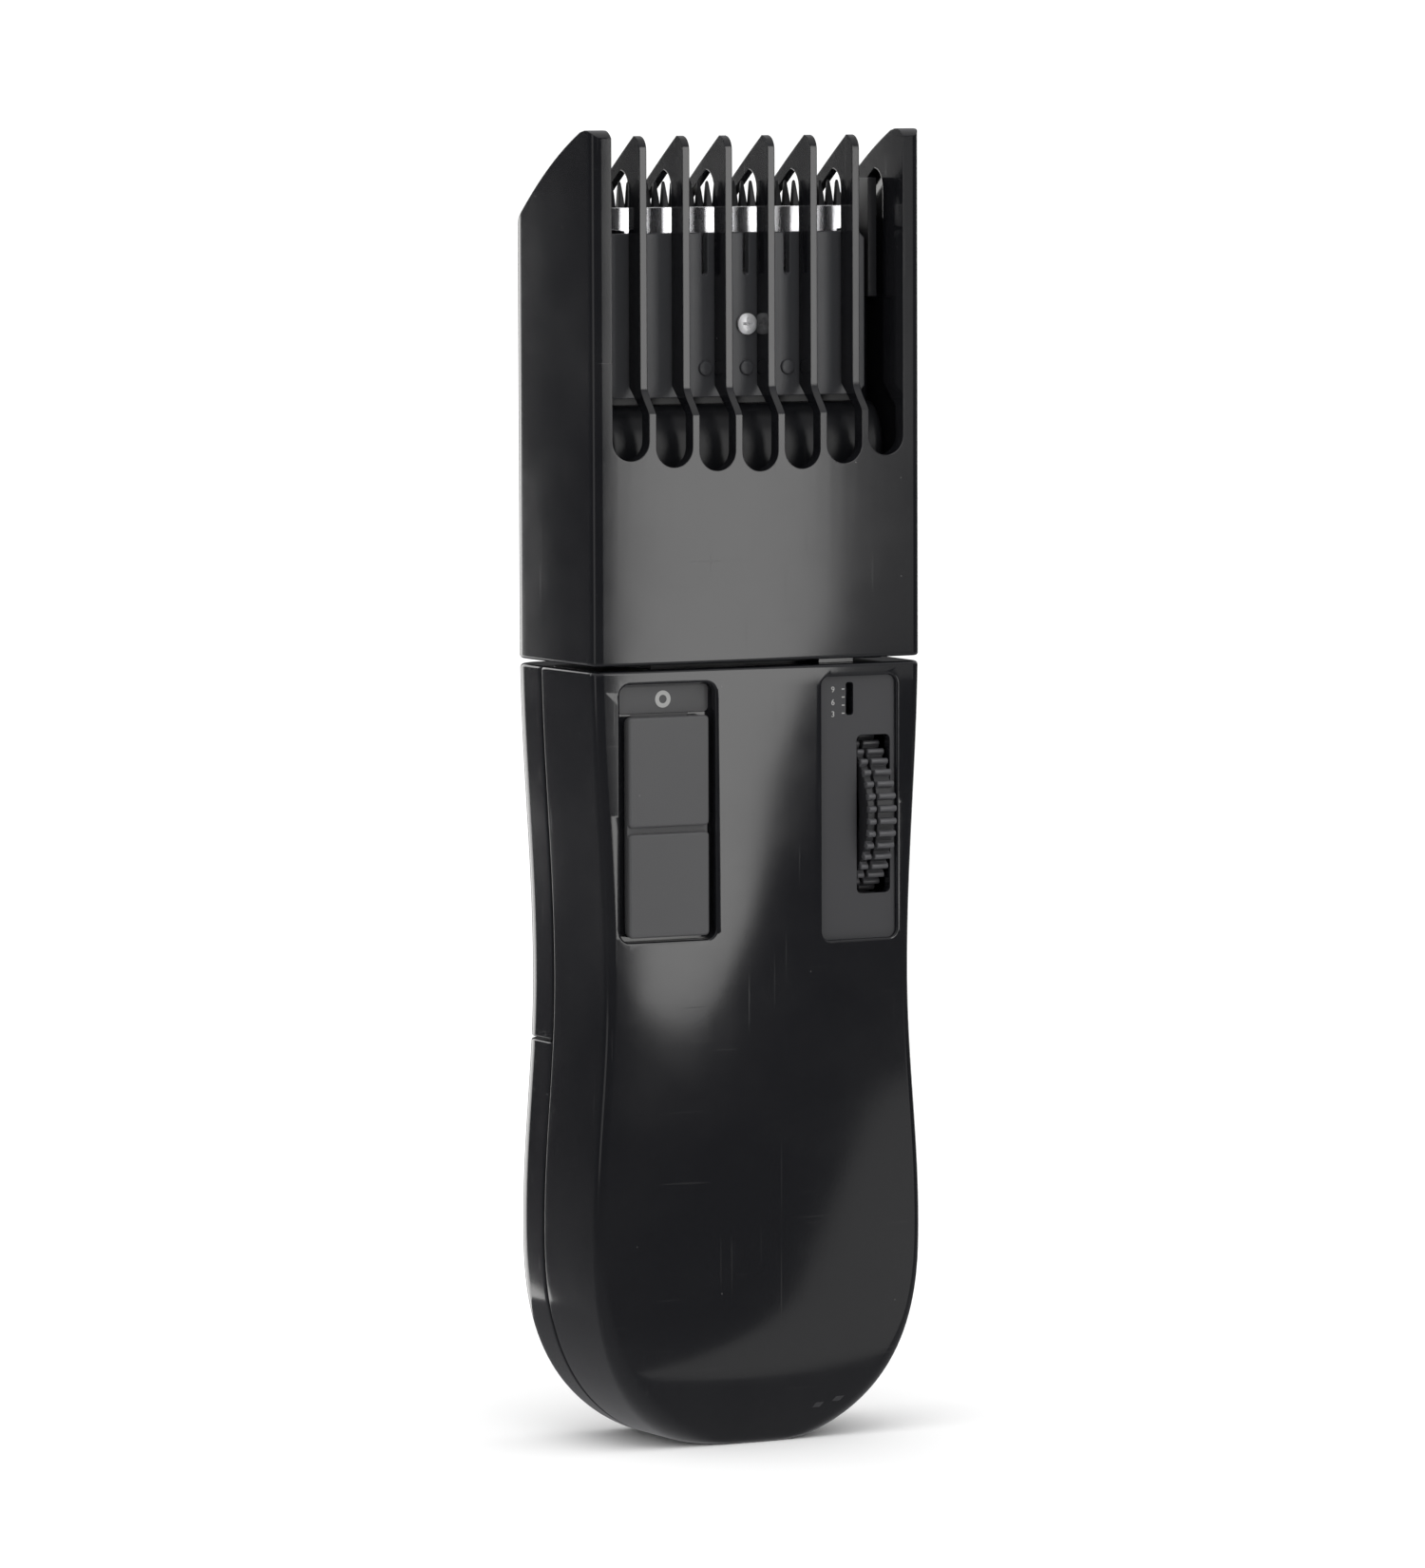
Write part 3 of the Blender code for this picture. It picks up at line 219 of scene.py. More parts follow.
class GroomerStageSettings(bpy.types.PropertyGroup):
    azimuth: angle_setting("Azimuth", "Camera angle round the groomer", -27.0)
    elevation: angle_setting("Elevation", "Camera angle above the horizon", 4.6)
    roll: angle_setting("Roll", "Camera turn about its own axis", -0.2)
    distance: length_setting("Distance", "Distance from the camera to the groomer", 1055.0)
    aim_height: length_setting("Aim height", "Height the camera looks at", 77.0)
    aside: length_setting("Sidestep", "How far the camera stands to its left", 0.75)
    lens: bpy.props.FloatProperty(
        name="Focal length", description="Camera lens", default=205.5, unit="CAMERA"
    )
    key: level_setting("Key", "Brightness of the front card", 4.0)
    fill: level_setting("Fill", "Brightness of the lower, side and top cards", 0.75)
    rim: level_setting("Rim", "Brightness of the rear cards", 2.8)
    sky: level_setting("Sky", "Brightness of the soft light", 1.12)
    top: bpy.props.FloatProperty(
        name="Top", description="Power of the overhead light", default=3.0, min=0.0, unit="POWER"
    )


SETTING_GROUPS = {
    "groomer_handle": GroomerHandleSettings,
    "groomer_comb": GroomerCombSettings,
    "groomer_blades": GroomerBladeSettings,
    "groomer_wheel": GroomerWheelSettings,
    "groomer_colours": GroomerColourSettings,
    "groomer_stage": GroomerStageSettings,
}


def lengths(group, *names):
    """Settings of one group in millimetres."""
    settings = getattr(bpy.context.scene, group)
    return [getattr(settings, name) / MM for name in names]


# ---------------------------------------------------------------- outlines and meshes


def arc(cx, cy, radius, start, end, steps):
    """Points of an arc, angles in degrees, both ends included."""
    points = []
    for i in range(steps + 1):
        angle = math.radians(start + (end - start) * i / steps)
        points.append((cx + radius * math.cos(angle), cy + radius * math.sin(angle)))
    return points


def circle(cx, cy, radius, steps):
    return arc(cx, cy, radius, 0, 360, steps)[:-1]


def rounded_rectangle(cx, cy, width, height, radius, steps=8):
    x, y = width / 2 - radius, height / 2 - radius
    return (
        arc(cx + x, cy + y, radius, 0, 90, steps)
        + arc(cx - x, cy + y, radius, 90, 180, steps)
        + arc(cx - x, cy - y, radius, 180, 270, steps)
        + arc(cx + x, cy - y, radius, 270, 360, steps)
    )


def inset_outline(outline, depth):
    """The outline drawn in by depth along its own normals."""
    points = [Vector(p) for p in outline]
    area = sum(a.x * b.y - b.x * a.y for a, b in zip(points, points[1:] + points[:1]))
    turn = 1.0 if area > 0 else -1.0
    result = []
    for i, point in enumerate(points):
        before = (point - points[i - 1]).normalized()
        after = (points[(i + 1) % len(points)] - point).normalized()
        normal = Vector((-before.y - after.y, before.x + after.x))
        across = Vector((-before.y, before.x))
        normal = normal.normalized() * turn if normal.length > 1e-6 else across * turn
        slant = abs(normal.dot(across))
        result.append(tuple(point + normal * depth / max(slant, 0.5)))
    return result


def on_axis(axis, along, u, v):
    """The point at a distance along an axis, with u and v across it."""
    if axis == "X":
        return Vector((along, u, v))
    if axis == "Y":
        return Vector((u, along, v))
    return Vector((u, v, along))


def move_into(bm, part):
    """Adds a closed part to a bmesh, its faces turned outwards, and uses it up."""
    bmesh.ops.recalc_face_normals(part, faces=part.faces)
    held = bpy.data.meshes.new("part")
    part.to_mesh(held)
    part.free()
    bm.from_mesh(held)
    bpy.data.meshes.remove(held)


def loft(bm, rings):
    """Adds a closed solid through rings of equal length."""
    part = bmesh.new()
    rows = [[part.verts.new(Vector(point)) for point in ring] for ring in rings]
    count = len(rows[0])
    for low, high in zip(rows, rows[1:]):
        for i in range(count):
            j = (i + 1) % count
            part.faces.new((low[i], low[j], high[j], high[i]))
    part.faces.new(list(reversed(rows[0])))
    part.faces.new(rows[-1])
    move_into(bm, part)


def prism(bm, outline, axis, start, end):
    loft(bm, [[on_axis(axis, a, u, v) for u, v in outline] for a in (start, end)])


def box(bm, x0, x1, y0, y1, z0, z1):
    prism(bm, [(x0, y0), (x1, y0), (x1, y1), (x0, y1)], "Z", z0, z1)


def turned(bm, axis, cu, cv, profile, steps=48):
    """A round solid from (distance along the axis, radius) pairs."""
    loft(bm, [[on_axis(axis, a, u, v) for u, v in circle(cu, cv, r, steps)] for a, r in profile])


def rod(bm, axis, cu, cv, radius, start, end, steps=32):
    turned(bm, axis, cu, cv, [(start, radius), (end, radius)], steps)


def quarter(radius, steps=4):
    """(inset, depth) pairs of a rounded edge, from the face inwards."""
    pairs = []
    for i in range(steps + 1):
        angle = math.pi / 2 * i / steps
        pairs.append((radius * (1 - math.sin(angle)), radius * (1 - math.cos(angle))))
    return pairs


def plate(bm, outline, axis, start, end, start_round, end_round):
    """A flat piece with rounded rims on one or both faces."""
    rings = []
    direction = 1.0 if end > start else -1.0
    for inset, depth in quarter(start_round) if start_round else [(0.0, 0.0)]:
        rings.append((start + direction * depth, inset))
    for inset, depth in reversed(quarter(end_round)) if end_round else [(0.0, 0.0)]:
        rings.append((end - direction * depth, inset))
    loft(bm, [[on_axis(axis, a, u, v) for u, v in inset_outline(outline, inset)] for a, inset in rings])


def mouth(bm, outline_at, face_at, inward, floor, radius):
    """A recess with a rounded mouth, sunk along Y from a curved face to a flat floor.

    outline_at gives the outline grown by an amount; face_at gives the face's y at a point of it.
    """
    rings = [[(x, face_at(x, z) - inward * 3.0, z) for x, z in outline_at(radius)]]
    for grow, depth in quarter(radius):
        rings.append([(x, face_at(x, z) + inward * depth, z) for x, z in outline_at(grow)])
    rings.append([(x, floor, z) for x, z in outline_at(0.0)])
    loft(bm, rings)


def finished(name, bm):
    """The bmesh, drawn in millimetres, as a mesh in metres."""
    bmesh.ops.scale(bm, verts=bm.verts, vec=(MM, MM, MM))
    mesh = bpy.data.meshes.new(name)
    bm.to_mesh(mesh)
    bm.free()
    return mesh


def solid(name, build, *values):
    bm = bmesh.new()
    build(bm, *values)
    return finished(name, bm)


def helper_object(name, mesh):
    obj = bpy.data.objects.new(name, mesh)
    bpy.context.scene.collection.objects.link(obj)
    return obj


def evaluated_mesh(obj, name):
    graph = bpy.context.evaluated_depsgraph_get()
    mesh = bpy.data.meshes.new_from_object(obj.evaluated_get(graph))
    mesh.name = name
    return mesh


def combine(mesh, operation, other):
    """The first mesh cut by or joined to the other; both are used up."""
    left = helper_object("work", mesh)
    right = helper_object("tool", other)
    modifier = left.modifiers.new("combine", "BOOLEAN")
    modifier.object = right
    modifier.operation = operation
    modifier.solver = "EXACT"
    result = evaluated_mesh(left, mesh.name)
    for obj in (left, right):
        bpy.data.objects.remove(obj)
    for used in (mesh, other):
        bpy.data.meshes.remove(used)
    return result


def cut(mesh, build, *values):
    return combine(mesh, "DIFFERENCE", solid("tool", build, *values))


def join(mesh, build, *values):
    return combine(mesh, "UNION", solid("tool", build, *values))


def merged(name, *meshes):
    """Several meshes as the separate shells of one mesh."""
    bm = bmesh.new()
    for mesh in meshes:
        bm.from_mesh(mesh)
        bpy.data.meshes.remove(mesh)
    result = bpy.data.meshes.new(name)
    bm.to_mesh(result)
    bm.free()
    return result


def repaint(mesh, slot_index, where):
    """Gives a material slot to the faces whose centre, in millimetres, and normal pass a test."""
    for face in mesh.polygons:
        if where(face.center / MM, face.normal):
            face.material_index = slot_index


def add_piece(name, mesh, materials, body, *replaced):
    """A finished piece: it rides on its body and stands for the CAD nodes named."""
    mesh.name = name
    # Clearing the materials would also reset which face has which.
    places = [0] * len(mesh.polygons)
    mesh.polygons.foreach_get("material_index", places)
    mesh.materials.clear()
    for material in materials:
        mesh.materials.append(bpy.data.materials[material])
    places = [place if place < len(materials) else 0 for place in places]
    mesh.polygons.foreach_set("material_index", places)
    mesh.polygons.foreach_set("use_smooth", [True] * len(mesh.polygons))
    mesh.set_sharp_from_angle(angle=math.radians(SHARP_DEGREES))
    obj = helper_object(name, mesh)
    # Broad faces set the shading, so that the flats stay flat beside narrow rounded edges.
    even = obj.modifiers.new("even", "WEIGHTED_NORMAL")
    even.keep_sharp = True
    obj.data = evaluated_mesh(obj, name)
    obj.modifiers.clear()
    bpy.data.meshes.remove(mesh)
    obj.data.name = name
    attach(obj, body)
    if replaced:
        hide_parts(*replaced)
    return obj


# ---------------------------------------------------------------- repeated shapes by geometry nodes


def repeat_tree():
    """Copies of one shape, each moved by Step and turned by Turn from the one before."""
    name = "groomer_repeat"
    if name in bpy.data.node_groups:
        return bpy.data.node_groups[name]
    tree = bpy.data.node_groups.new(name, "GeometryNodeTree")
    sockets = [
        ("Shape", "NodeSocketGeometry"),
        ("Count", "NodeSocketInt"),
        ("Start", "NodeSocketVector"),
        ("Step", "NodeSocketVector"),
        ("Turn", "NodeSocketVector"),
        ("Material", "NodeSocketMaterial"),
    ]
    for label, kind in sockets:
        tree.interface.new_socket(label, in_out="INPUT", socket_type=kind)
    tree.interface.new_socket("Shapes", in_out="OUTPUT", socket_type="NodeSocketGeometry")
    nodes, links = tree.nodes, tree.links
    source = nodes.new("NodeGroupInput")
    line = nodes.new("GeometryNodeMeshLine")
    line.mode = "OFFSET"
    index = nodes.new("GeometryNodeInputIndex")
    turn = nodes.new("ShaderNodeVectorMath")
    turn.operation = "SCALE"
    copies = nodes.new("GeometryNodeInstanceOnPoints")
    real = nodes.new("GeometryNodeRealizeInstances")
    paint = nodes.new("GeometryNodeSetMaterial")
    out = nodes.new("NodeGroupOutput")
    links.new(source.outputs["Count"], line.inputs["Count"])
    links.new(source.outputs["Start"], line.inputs["Start Location"])
    links.new(source.outputs["Step"], line.inputs["Offset"])
    links.new(source.outputs["Turn"], turn.inputs[0])
    links.new(index.outputs[0], turn.inputs["Scale"])
    links.new(line.outputs["Mesh"], copies.inputs["Points"])
    links.new(source.outputs["Shape"], copies.inputs["Instance"])
    links.new(turn.outputs["Vector"], copies.inputs["Rotation"])
    links.new(copies.outputs["Instances"], real.inputs["Geometry"])
    links.new(real.outputs["Geometry"], paint.inputs["Geometry"])
    links.new(source.outputs["Material"], paint.inputs["Material"])
    links.new(paint.outputs["Geometry"], out.inputs["Shapes"])
    return tree


def repeated(mesh, material, count, start=(0, 0, 0), step=(0, 0, 0), turn=(0, 0, 0)):
    """The mesh repeated by geometry nodes; start and step in millimetres, turn in radians."""
    obj = helper_object("row", mesh)
    modifier = obj.modifiers.new("repeat", "NODES")
    modifier.node_group = repeat_tree()
    values = {
        "Count": count,
        "Start": [v * MM for v in start],
        "Step": [v * MM for v in step],
        "Turn": list(turn),
        "Material": bpy.data.materials[material],
    }
    for item in modifier.node_group.interface.items_tree:
        if item.name in values and item.in_out == "INPUT":
            modifier[item.identifier] = values[item.name]
    result = evaluated_mesh(obj, "row")
    # The piece that takes the row in gives its faces their places in its own list of materials.
    result.materials.clear()
    bpy.data.objects.remove(obj)
    bpy.data.meshes.remove(mesh)
    return result


# ---------------------------------------------------------------- handle


def ease(t):
    return (1 - math.cos(math.pi * t)) / 2


def handle_half(z, inset):
    """Half width: a round lower end, the waist, then the shoulders."""
    belly, waist, shoulder = lengths("groomer_handle", "belly_half", "waist_half", "shoulder_half")
    if z < BELLY_Z:
        drop = (BELLY_Z - z) / (ROUND_END_RADIUS - inset)
        return (belly - inset) * (1 - drop**ROUND_END_POWER) ** (1 / ROUND_END_POWER)
    if z < WAIST_Z:
        return belly + (waist - belly) * ease((z - BELLY_Z) / (WAIST_Z - BELLY_Z)) - inset
    return waist + (shoulder - waist) * ease((z - WAIST_Z) / (SHOULDER_Z - WAIST_Z)) - inset


def tuck(z, height, amount):
    """How far a face is drawn in near the base."""
    return amount * max(0.0, 1 - z / height) ** 3


def front_at(x, z):
    """The y of the front face."""
    front = -lengths("groomer_handle", "depth_front")[0] + tuck(z, *FRONT_TUCK)
    return front + FACE_CROWN * (x / (handle_half(z, 0.0) - SIDE_DRAFT)) ** 2


def section(half, front, rear, front_radius, rear_radius, crown, draft, fine=1.0):
    """The right half of an outline in X and Y, from the front centre round to the rear centre.

    It returns the front run, the side run and the rear run apart, so that a seam can part the side.
    """
    side_front = half - draft
    edge_front = front + crown * ((side_front - front_radius) / side_front) ** 2
    flat = round(11 * fine)
    front_run = []
    for i in range(flat):
        x = (side_front - front_radius) * i / flat
        front_run.append((x, front + crown * (x / side_front) ** 2))
    start, end = edge_front + front_radius, rear - rear_radius
    front_run += arc(side_front - front_radius, start, front_radius, -90, 0, round(8 * fine))

    def side_at(y):
        t = (y - start) / (end - start)
        return side_front + draft * (t + 0.25 * math.sin(math.pi * t))

    rear_run = arc(half - rear_radius, rear - rear_radius, rear_radius, 0, 90, round(14 * fine))
    back = round(8 * fine)
    rear_run += [((half - rear_radius) * (1 - i / back), rear) for i in range(1, back + 1)]
    return front_run, (start, end, side_at), rear_run


def side_run(side_at, start, end, steps):
    """Points of the side between start and end, both ends left out."""
    depths = [start + (end - start) * i / steps for i in range(1, steps)]
    return [(side_at(y), y) for y in depths]


def closed_ring(right, z):
    """A whole ring from its right half."""
    inner = right[1:-1] if abs(right[-1][0]) < 1e-6 else right[1:]
    left = [(-x, y) for x, y in reversed(inner)]
    return [(x, y, z) for x, y in right + left]


def handle_values(z, inset, shrink, seam_limit):
    """What section needs for the handle at height z, drawn in by an inset or by a rounded edge."""
    names = ("depth_front", "depth_rear", "rear_radius")
    depth_front, depth_rear, rear_radius = lengths("groomer_handle", *names)
    half = handle_half(z, inset)
    front = inset + shrink - depth_front + tuck(z, *FRONT_TUCK)
    rear = depth_rear - inset - shrink - tuck(z, *REAR_TUCK)
    front_radius = max(FRONT_EDGE_RADIUS + tuck(z, *EDGE_TUCK) - inset, 0.5)
    radius = min(min(rear_radius, half - 0.8) - inset / 2, rear - seam_limit)
    front_radius = min(front_radius, half - shrink - 1.5)
    return half - shrink, front, rear, front_radius, radius, FACE_CROWN, SIDE_DRAFT


def half_ring(side, z, shrink):
    """A section of one half of the handle, parted at the side seam with a rounded edge."""
    rim = lengths("groomer_handle", "seam_round")[0]
    seam = PARTING_Y + side * HALF_SEAM
    front_run, (start, end, side_at), rear_run = section(*handle_values(z, 0.0, shrink, PARTING_Y + 0.5))
    steps = 12
    if side < 0:
        stop = seam - rim
        run = side_run(side_at, start, stop, steps)
        centre = side_at(stop) - rim
        right = front_run + run + arc(centre, stop, rim, 0, 90, 4)
        left = [(-x, y) for x, y in reversed(right[1:])]
    else:
        first = seam + rim
        centre = side_at(first) - rim
        run = side_run(side_at, first, end, steps)
        right = arc(centre, first, rim, -90, 0, 4) + run + rear_run
        left = [(-x, y) for x, y in reversed(right[:-1])]
    return [(x, y, z) for x, y in right + left]


def stations(low, high, step=1.6):
    """Heights from low to high, closer together in the round lower end."""
    heights, z = [], low
    while z < high - step * 0.5:
        heights.append(z)
        z += step * (0.2 if z < 3.0 else 0.35 if z < 8.0 else 0.6 if z < 18.0 else 1.0)
    return heights + [high]


def half_body(bm, side, low, high, low_round, high_round):
    rows = [(low + depth, inset) for inset, depth in quarter(low_round)]
    rows += [(z, 0.0) for z in stations(low + low_round, high - high_round)[1:-1]]
    rows += [(high - depth, inset) for inset, depth in reversed(quarter(high_round))]
    loft(bm, [half_ring(side, z, shrink) for z, shrink in rows])


def handle_inside(bm):
    wall = lengths("groomer_handle", "wall")[0]
    rings = []
    for z in stations(wall, HANDLE_TOP - LEDGE, 3.0):
        front_run, (start, end, side_at), rear_run = section(*handle_values(z, wall, 0.0, 0.0), 0.5)
        middle = (start + end) / 2
        rings.append(closed_ring(front_run + [(side_at(middle), middle)] + rear_run, z))
    loft(bm, rings)


def pocket_outline(grow):
    width, height = POCKET_SIZE
    return rounded_rectangle(PAD_X, POCKET_Z, width + 2 * grow, height + 2 * grow, 1.2 + grow)


def panel_outline(grow):
    width, height = PANEL_SIZE
    return rounded_rectangle(PANEL_X, PANEL_Z, width + 2 * grow, height + 2 * grow, 1.0 + grow)


def front_openings(bm):
    """The switch pocket, the wheel panel and the seat for the neck's tenon."""
    radius = lengths("groomer_handle", "mouth_round")[0]
    mouth(bm, pocket_outline, front_at, 1.0, POCKET_FLOOR, radius)
    mouth(bm, panel_outline, front_at, 1.0, PANEL_Y, radius)
    half = TENON[0] + TENON_GAP
    box(bm, -half, half, TENON[1] - TENON_GAP, BIG, SEAT_LOW, HANDLE_TOP + 1.0)


def front_slots(bm, screw_x):
    """Slots in the pocket and panel floors, the rack's way out and the screw bores."""
    prism(bm, rounded_rectangle(PAD_X, *SWITCH_SLOT, 0.8), "Y", -14.0, -6.5)
    wheel_z = (WHEEL_LOW.z + WHEEL_HIGH.z) / 2

    def wheel_slot(grow):
        x, width, height = WHEEL_SLOT
        return rounded_rectangle(x, wheel_z, width + 2 * grow, height + 2 * grow, 0.6 + grow)

    def pointer_slot(grow):
        x, z, width, height = POINTER_SLOT
        return rounded_rectangle(x, z, width + 2 * grow, height + 2 * grow, 0.3 + grow)

    mouth(bm, wheel_slot, lambda x, z: PANEL_Y, 1.0, -7.0, 0.12)
    mouth(bm, pointer_slot, lambda x, z: PANEL_Y, 1.0, -8.0, 0.08)
    for side in (-1, 1):
        rod(bm, "Y", side * screw_x, SCREW_Z, SCREW_BORE, -7.5, PARTING_Y + 1.0)
    box(bm, 8.6, 13.2, -9.0, -5.9, SEAT_LOW, HANDLE_TOP + 1.0)


def shell_bosses(bm, screw_x, start, end):
    for side in (-1, 1):
        rod(bm, "Y", side * screw_x, SCREW_Z, SCREW_BOSS, start, end)


def make_front_shell(screw_x):
    top_round = lengths("groomer_handle", "top_round")[0]
    base_round = lengths("groomer_handle", "base_round")[0]
    mesh = solid("front_shell", half_body, -1, 0.0, HANDLE_TOP, base_round, top_round)
    mesh = cut(mesh, handle_inside)
    low, high = POCKET_Z - POCKET_SIZE[1] / 2 - 1, POCKET_Z + POCKET_SIZE[1] / 2 + 0.6
    reach = POCKET_SIZE[0] / 2 + 0.95
    mesh = join(mesh, box, PAD_X - reach, PAD_X + reach, -9.9, POCKET_FLOOR + 1.4, low, high)
    mesh = join(mesh, shell_bosses, screw_x, -9.3, PARTING_Y - HALF_SEAM)
    mesh = cut(mesh, front_openings)
    mesh = cut(mesh, front_slots, screw_x)
    # A matt grey inlay above the switch pad.
    strip = rounded_rectangle(PAD_X, MARK_Z, POCKET_SIZE[0] - 0.5, 3.2, 0.6)
    back, front = POCKET_FLOOR + INLAY, POCKET_FLOOR - INLAY
    mesh = merged("front_shell", mesh, solid("inlay", plate, strip, "Y", back, front, 0.0, 0.0))
    repaint(mesh, 1, lambda at, n: abs(at.y - POCKET_FLOOR) < 2 * INLAY and at.z > 86.4 and at.x < 0.0)
    repaint(mesh, 2, lambda at, n: n.y < -0.95 and abs(at.y - PANEL_Y) < 0.02 and at.x > 7.5)
    return mesh


def rear_bores(bm, screw_x):
    for side in (-1, 1):
        rod(bm, "Y", side * screw_x, SCREW_Z, SCREW_BORE, PARTING_Y - 1.0, REAR_FACE - 1.4)
    half = TENON[0] + TENON_GAP
    box(bm, -half, half, -BIG, TENON[2] + TENON_GAP, SEAT_LOW, HANDLE_TOP + 1.0)


def rear_counterbores(bm, screw_x):
    for side in (-1, 1):

        def outline(grow, centre=side * screw_x):
            return circle(centre, SCREW_Z, 2.2 + grow, 40)

        mouth(bm, outline, lambda x, z: REAR_FACE, -1.0, REAR_FACE - 1.5, 0.2)


def rear_lip(bm):
    """The locating lip behind the battery cover's top edge."""
    inner = REAR_FACE - 2.1
    profile = [
        (inner - 0.6, COVER_TOP - 2.5),
        (inner, COVER_TOP - 2.5),
        (inner, COVER_TOP + 0.8),
        (REAR_FACE - 1.0, COVER_TOP + 0.8),
        (REAR_FACE - 1.0, COVER_TOP + 3.5),
        (inner - 0.6, COVER_TOP + 3.5),
    ]
    prism(bm, profile, "X", -4.5, 4.5)


def make_rear_shell(screw_x):
    top_round, rim = lengths("groomer_handle", "top_round", "seam_round")
    mesh = solid("rear_shell", half_body, 1, COVER_TOP + HALF_SEAM, HANDLE_TOP, rim, top_round)
    mesh = cut(mesh, handle_inside)
    mesh = join(mesh, shell_bosses, screw_x, PARTING_Y + HALF_SEAM, REAR_FACE - 1.2)
    mesh = join(mesh, rear_lip)
    mesh = cut(mesh, rear_bores, screw_x)
    return cut(mesh, rear_counterbores, screw_x)


def cover_grooves(bm):
    """Four thumb grooves that shorten towards the cover's top."""
    for i in range(4):

        def outline(grow, z=36.0 + 2.2 * i, width=15.0 - 1.6 * i):
            return rounded_rectangle(0.0, z, width + 2 * grow, 0.9 + 2 * grow, 0.44 + grow, 6)

        mouth(bm, outline, lambda x, z: REAR_FACE, -1.0, REAR_FACE - 0.5, 0.2)


def make_battery_cover():
    base_round, rim = lengths("groomer_handle", "base_round", "seam_round")
    mesh = solid("battery_cover", half_body, 1, 0.0, COVER_TOP - HALF_SEAM, base_round, rim)
    mesh = cut(mesh, handle_inside)
    return cut(mesh, cover_grooves)


# ---------------------------------------------------------------- guide comb


def comb_top(y):
    """Height of the sloping top edge of the cheeks and fins at depth y."""
    back = max(0.0, y + 8.0)
    return COMB_HIGH.z - 0.43 * back - 0.012 * back**2


def fin_top(y):
    """Height of the top edge of the inner fins, which slope more steeply than the cheeks."""
    back = max(0.0, y + 8.0)
    return COMB_HIGH.z - 0.62 * back - 0.004 * back**2


def comb_ring(z, inset, fine):
    shoulder, depth_front, depth_rear, rear_radius = lengths(
        "groomer_handle", "shoulder_half", "depth_front", "depth_rear", "comb_radius"
    )
    front_run, (start, end, side_at), rear_run = section(
        shoulder - inset,
        inset - depth_front,
        depth_rear - inset,
        max(FRONT_EDGE_RADIUS - inset, 0.5),
        rear_radius - inset / 2,
        FACE_CROWN,
        SIDE_DRAFT,
        fine,
    )
    return closed_ring(front_run + side_run(side_at, start, end, round(14 * fine)) + rear_run, z)


def comb_outside(bm):
    rim = lengths("groomer_comb", "rim_round")[0]
    rings = [comb_ring(COMB_LOW.z + depth, inset, 1.0) for inset, depth in quarter(rim)]
    loft(bm, rings + [comb_ring(COMB_HIGH.z + 3.0, 0.0, 1.0)])


def comb_inside(bm):
    wall = lengths("groomer_handle", "wall")[0]
    loft(bm, [comb_ring(z, wall, 0.6) for z in (COMB_LOW.z - 3.0, COMB_HIGH.z + 6.0)])


def fin_blank(bm):
    """One block in the fins' side outline: posts, an arch, and the roof over the blades."""
    roof = lengths("groomer_comb", "roof")[0]
    top = COMB_HIGH.z
    arch = 2.1
    outline = [(-9.8, top + 1), (-9.8, 121.2), (-9.0, 121.2), (FIN_BACK, 124.2)]
    under = fin_top(FIN_BACK + arch) - roof
    outline += [(FIN_BACK, under - arch * 1.15)]
    for i in range(1, 8):
        angle = math.pi / 2 * i / 8
        y = FIN_BACK + arch * (1 - math.cos(angle))
        outline.append((y, under - arch * 1.15 * (1 - math.sin(angle))))
    first = FIN_BACK + arch
    for i in range(13):
        y = first + (9.4 - first) * i / 12
        outline.append((y, fin_top(y) - roof))
    outline.append((9.4, top + 1))
    prism(bm, outline, "X", -20.4, 20.4)


def slot_layout():
    """Number of slots, their pitch, the fins' thickness and half the width of the whole row."""
    slots, (pitch, fin) = bpy.context.scene.groomer_comb.slots, lengths("groomer_comb", "pitch", "fin")
    return slots, pitch, fin, pitch * slots / 2 - fin / 2


def fin_front_step(bm):
    """The S-shaped step that sets the fins back from the front face."""
    edge = slot_layout()[-1]
    top = COMB_HIGH.z + 8
    outline = [(-12.5, top), (-12.5, 119.7), (-11.6, 119.85)]
    for i in range(15):
        t = i / 14
        outline.append((-11.2 + (FIN_FRONT + 11.2) * ease(t), 120.0 + 4.6 * t))
    outline.append((FIN_FRONT, top))
    prism(bm, outline, "X", -edge, edge)


def comb_slope(bm):
    """Everything above the comb's sloping, rounded top edge."""
    front = -lengths("groomer_handle", "depth_front")[0]
    top = COMB_HIGH.z
    outline = [(-13.0, top + 12), (-13.0, 151.8), (front, 151.8)]
    outline += arc(front + 2.2, 151.8, 2.2, 180, 100, 10)
    outline += [(y, comb_top(y)) for y in [-8.6 + 21.1 * i / 20 for i in range(21)]]
    outline.append((12.5, top + 12))
    prism(bm, outline, "X", -25.0, 25.0)


def fin_slope(bm):
    """Everything above the fins' rounded tips and their steeper slope."""
    edge = slot_layout()[-1]
    top, radius = COMB_HIGH.z + 12, 1.7
    outline = [(-13.0, top), (-13.0, 151.6), (FIN_FRONT, 151.6)]
    outline += arc(FIN_FRONT + radius, 151.6, radius, 180, 95, 8)
    outline += [(y, fin_top(y)) for y in [-6.9 + 15.9 * i / 16 for i in range(17)]]
    outline.append((9.0, top))
    prism(bm, outline, "X", -edge, edge)


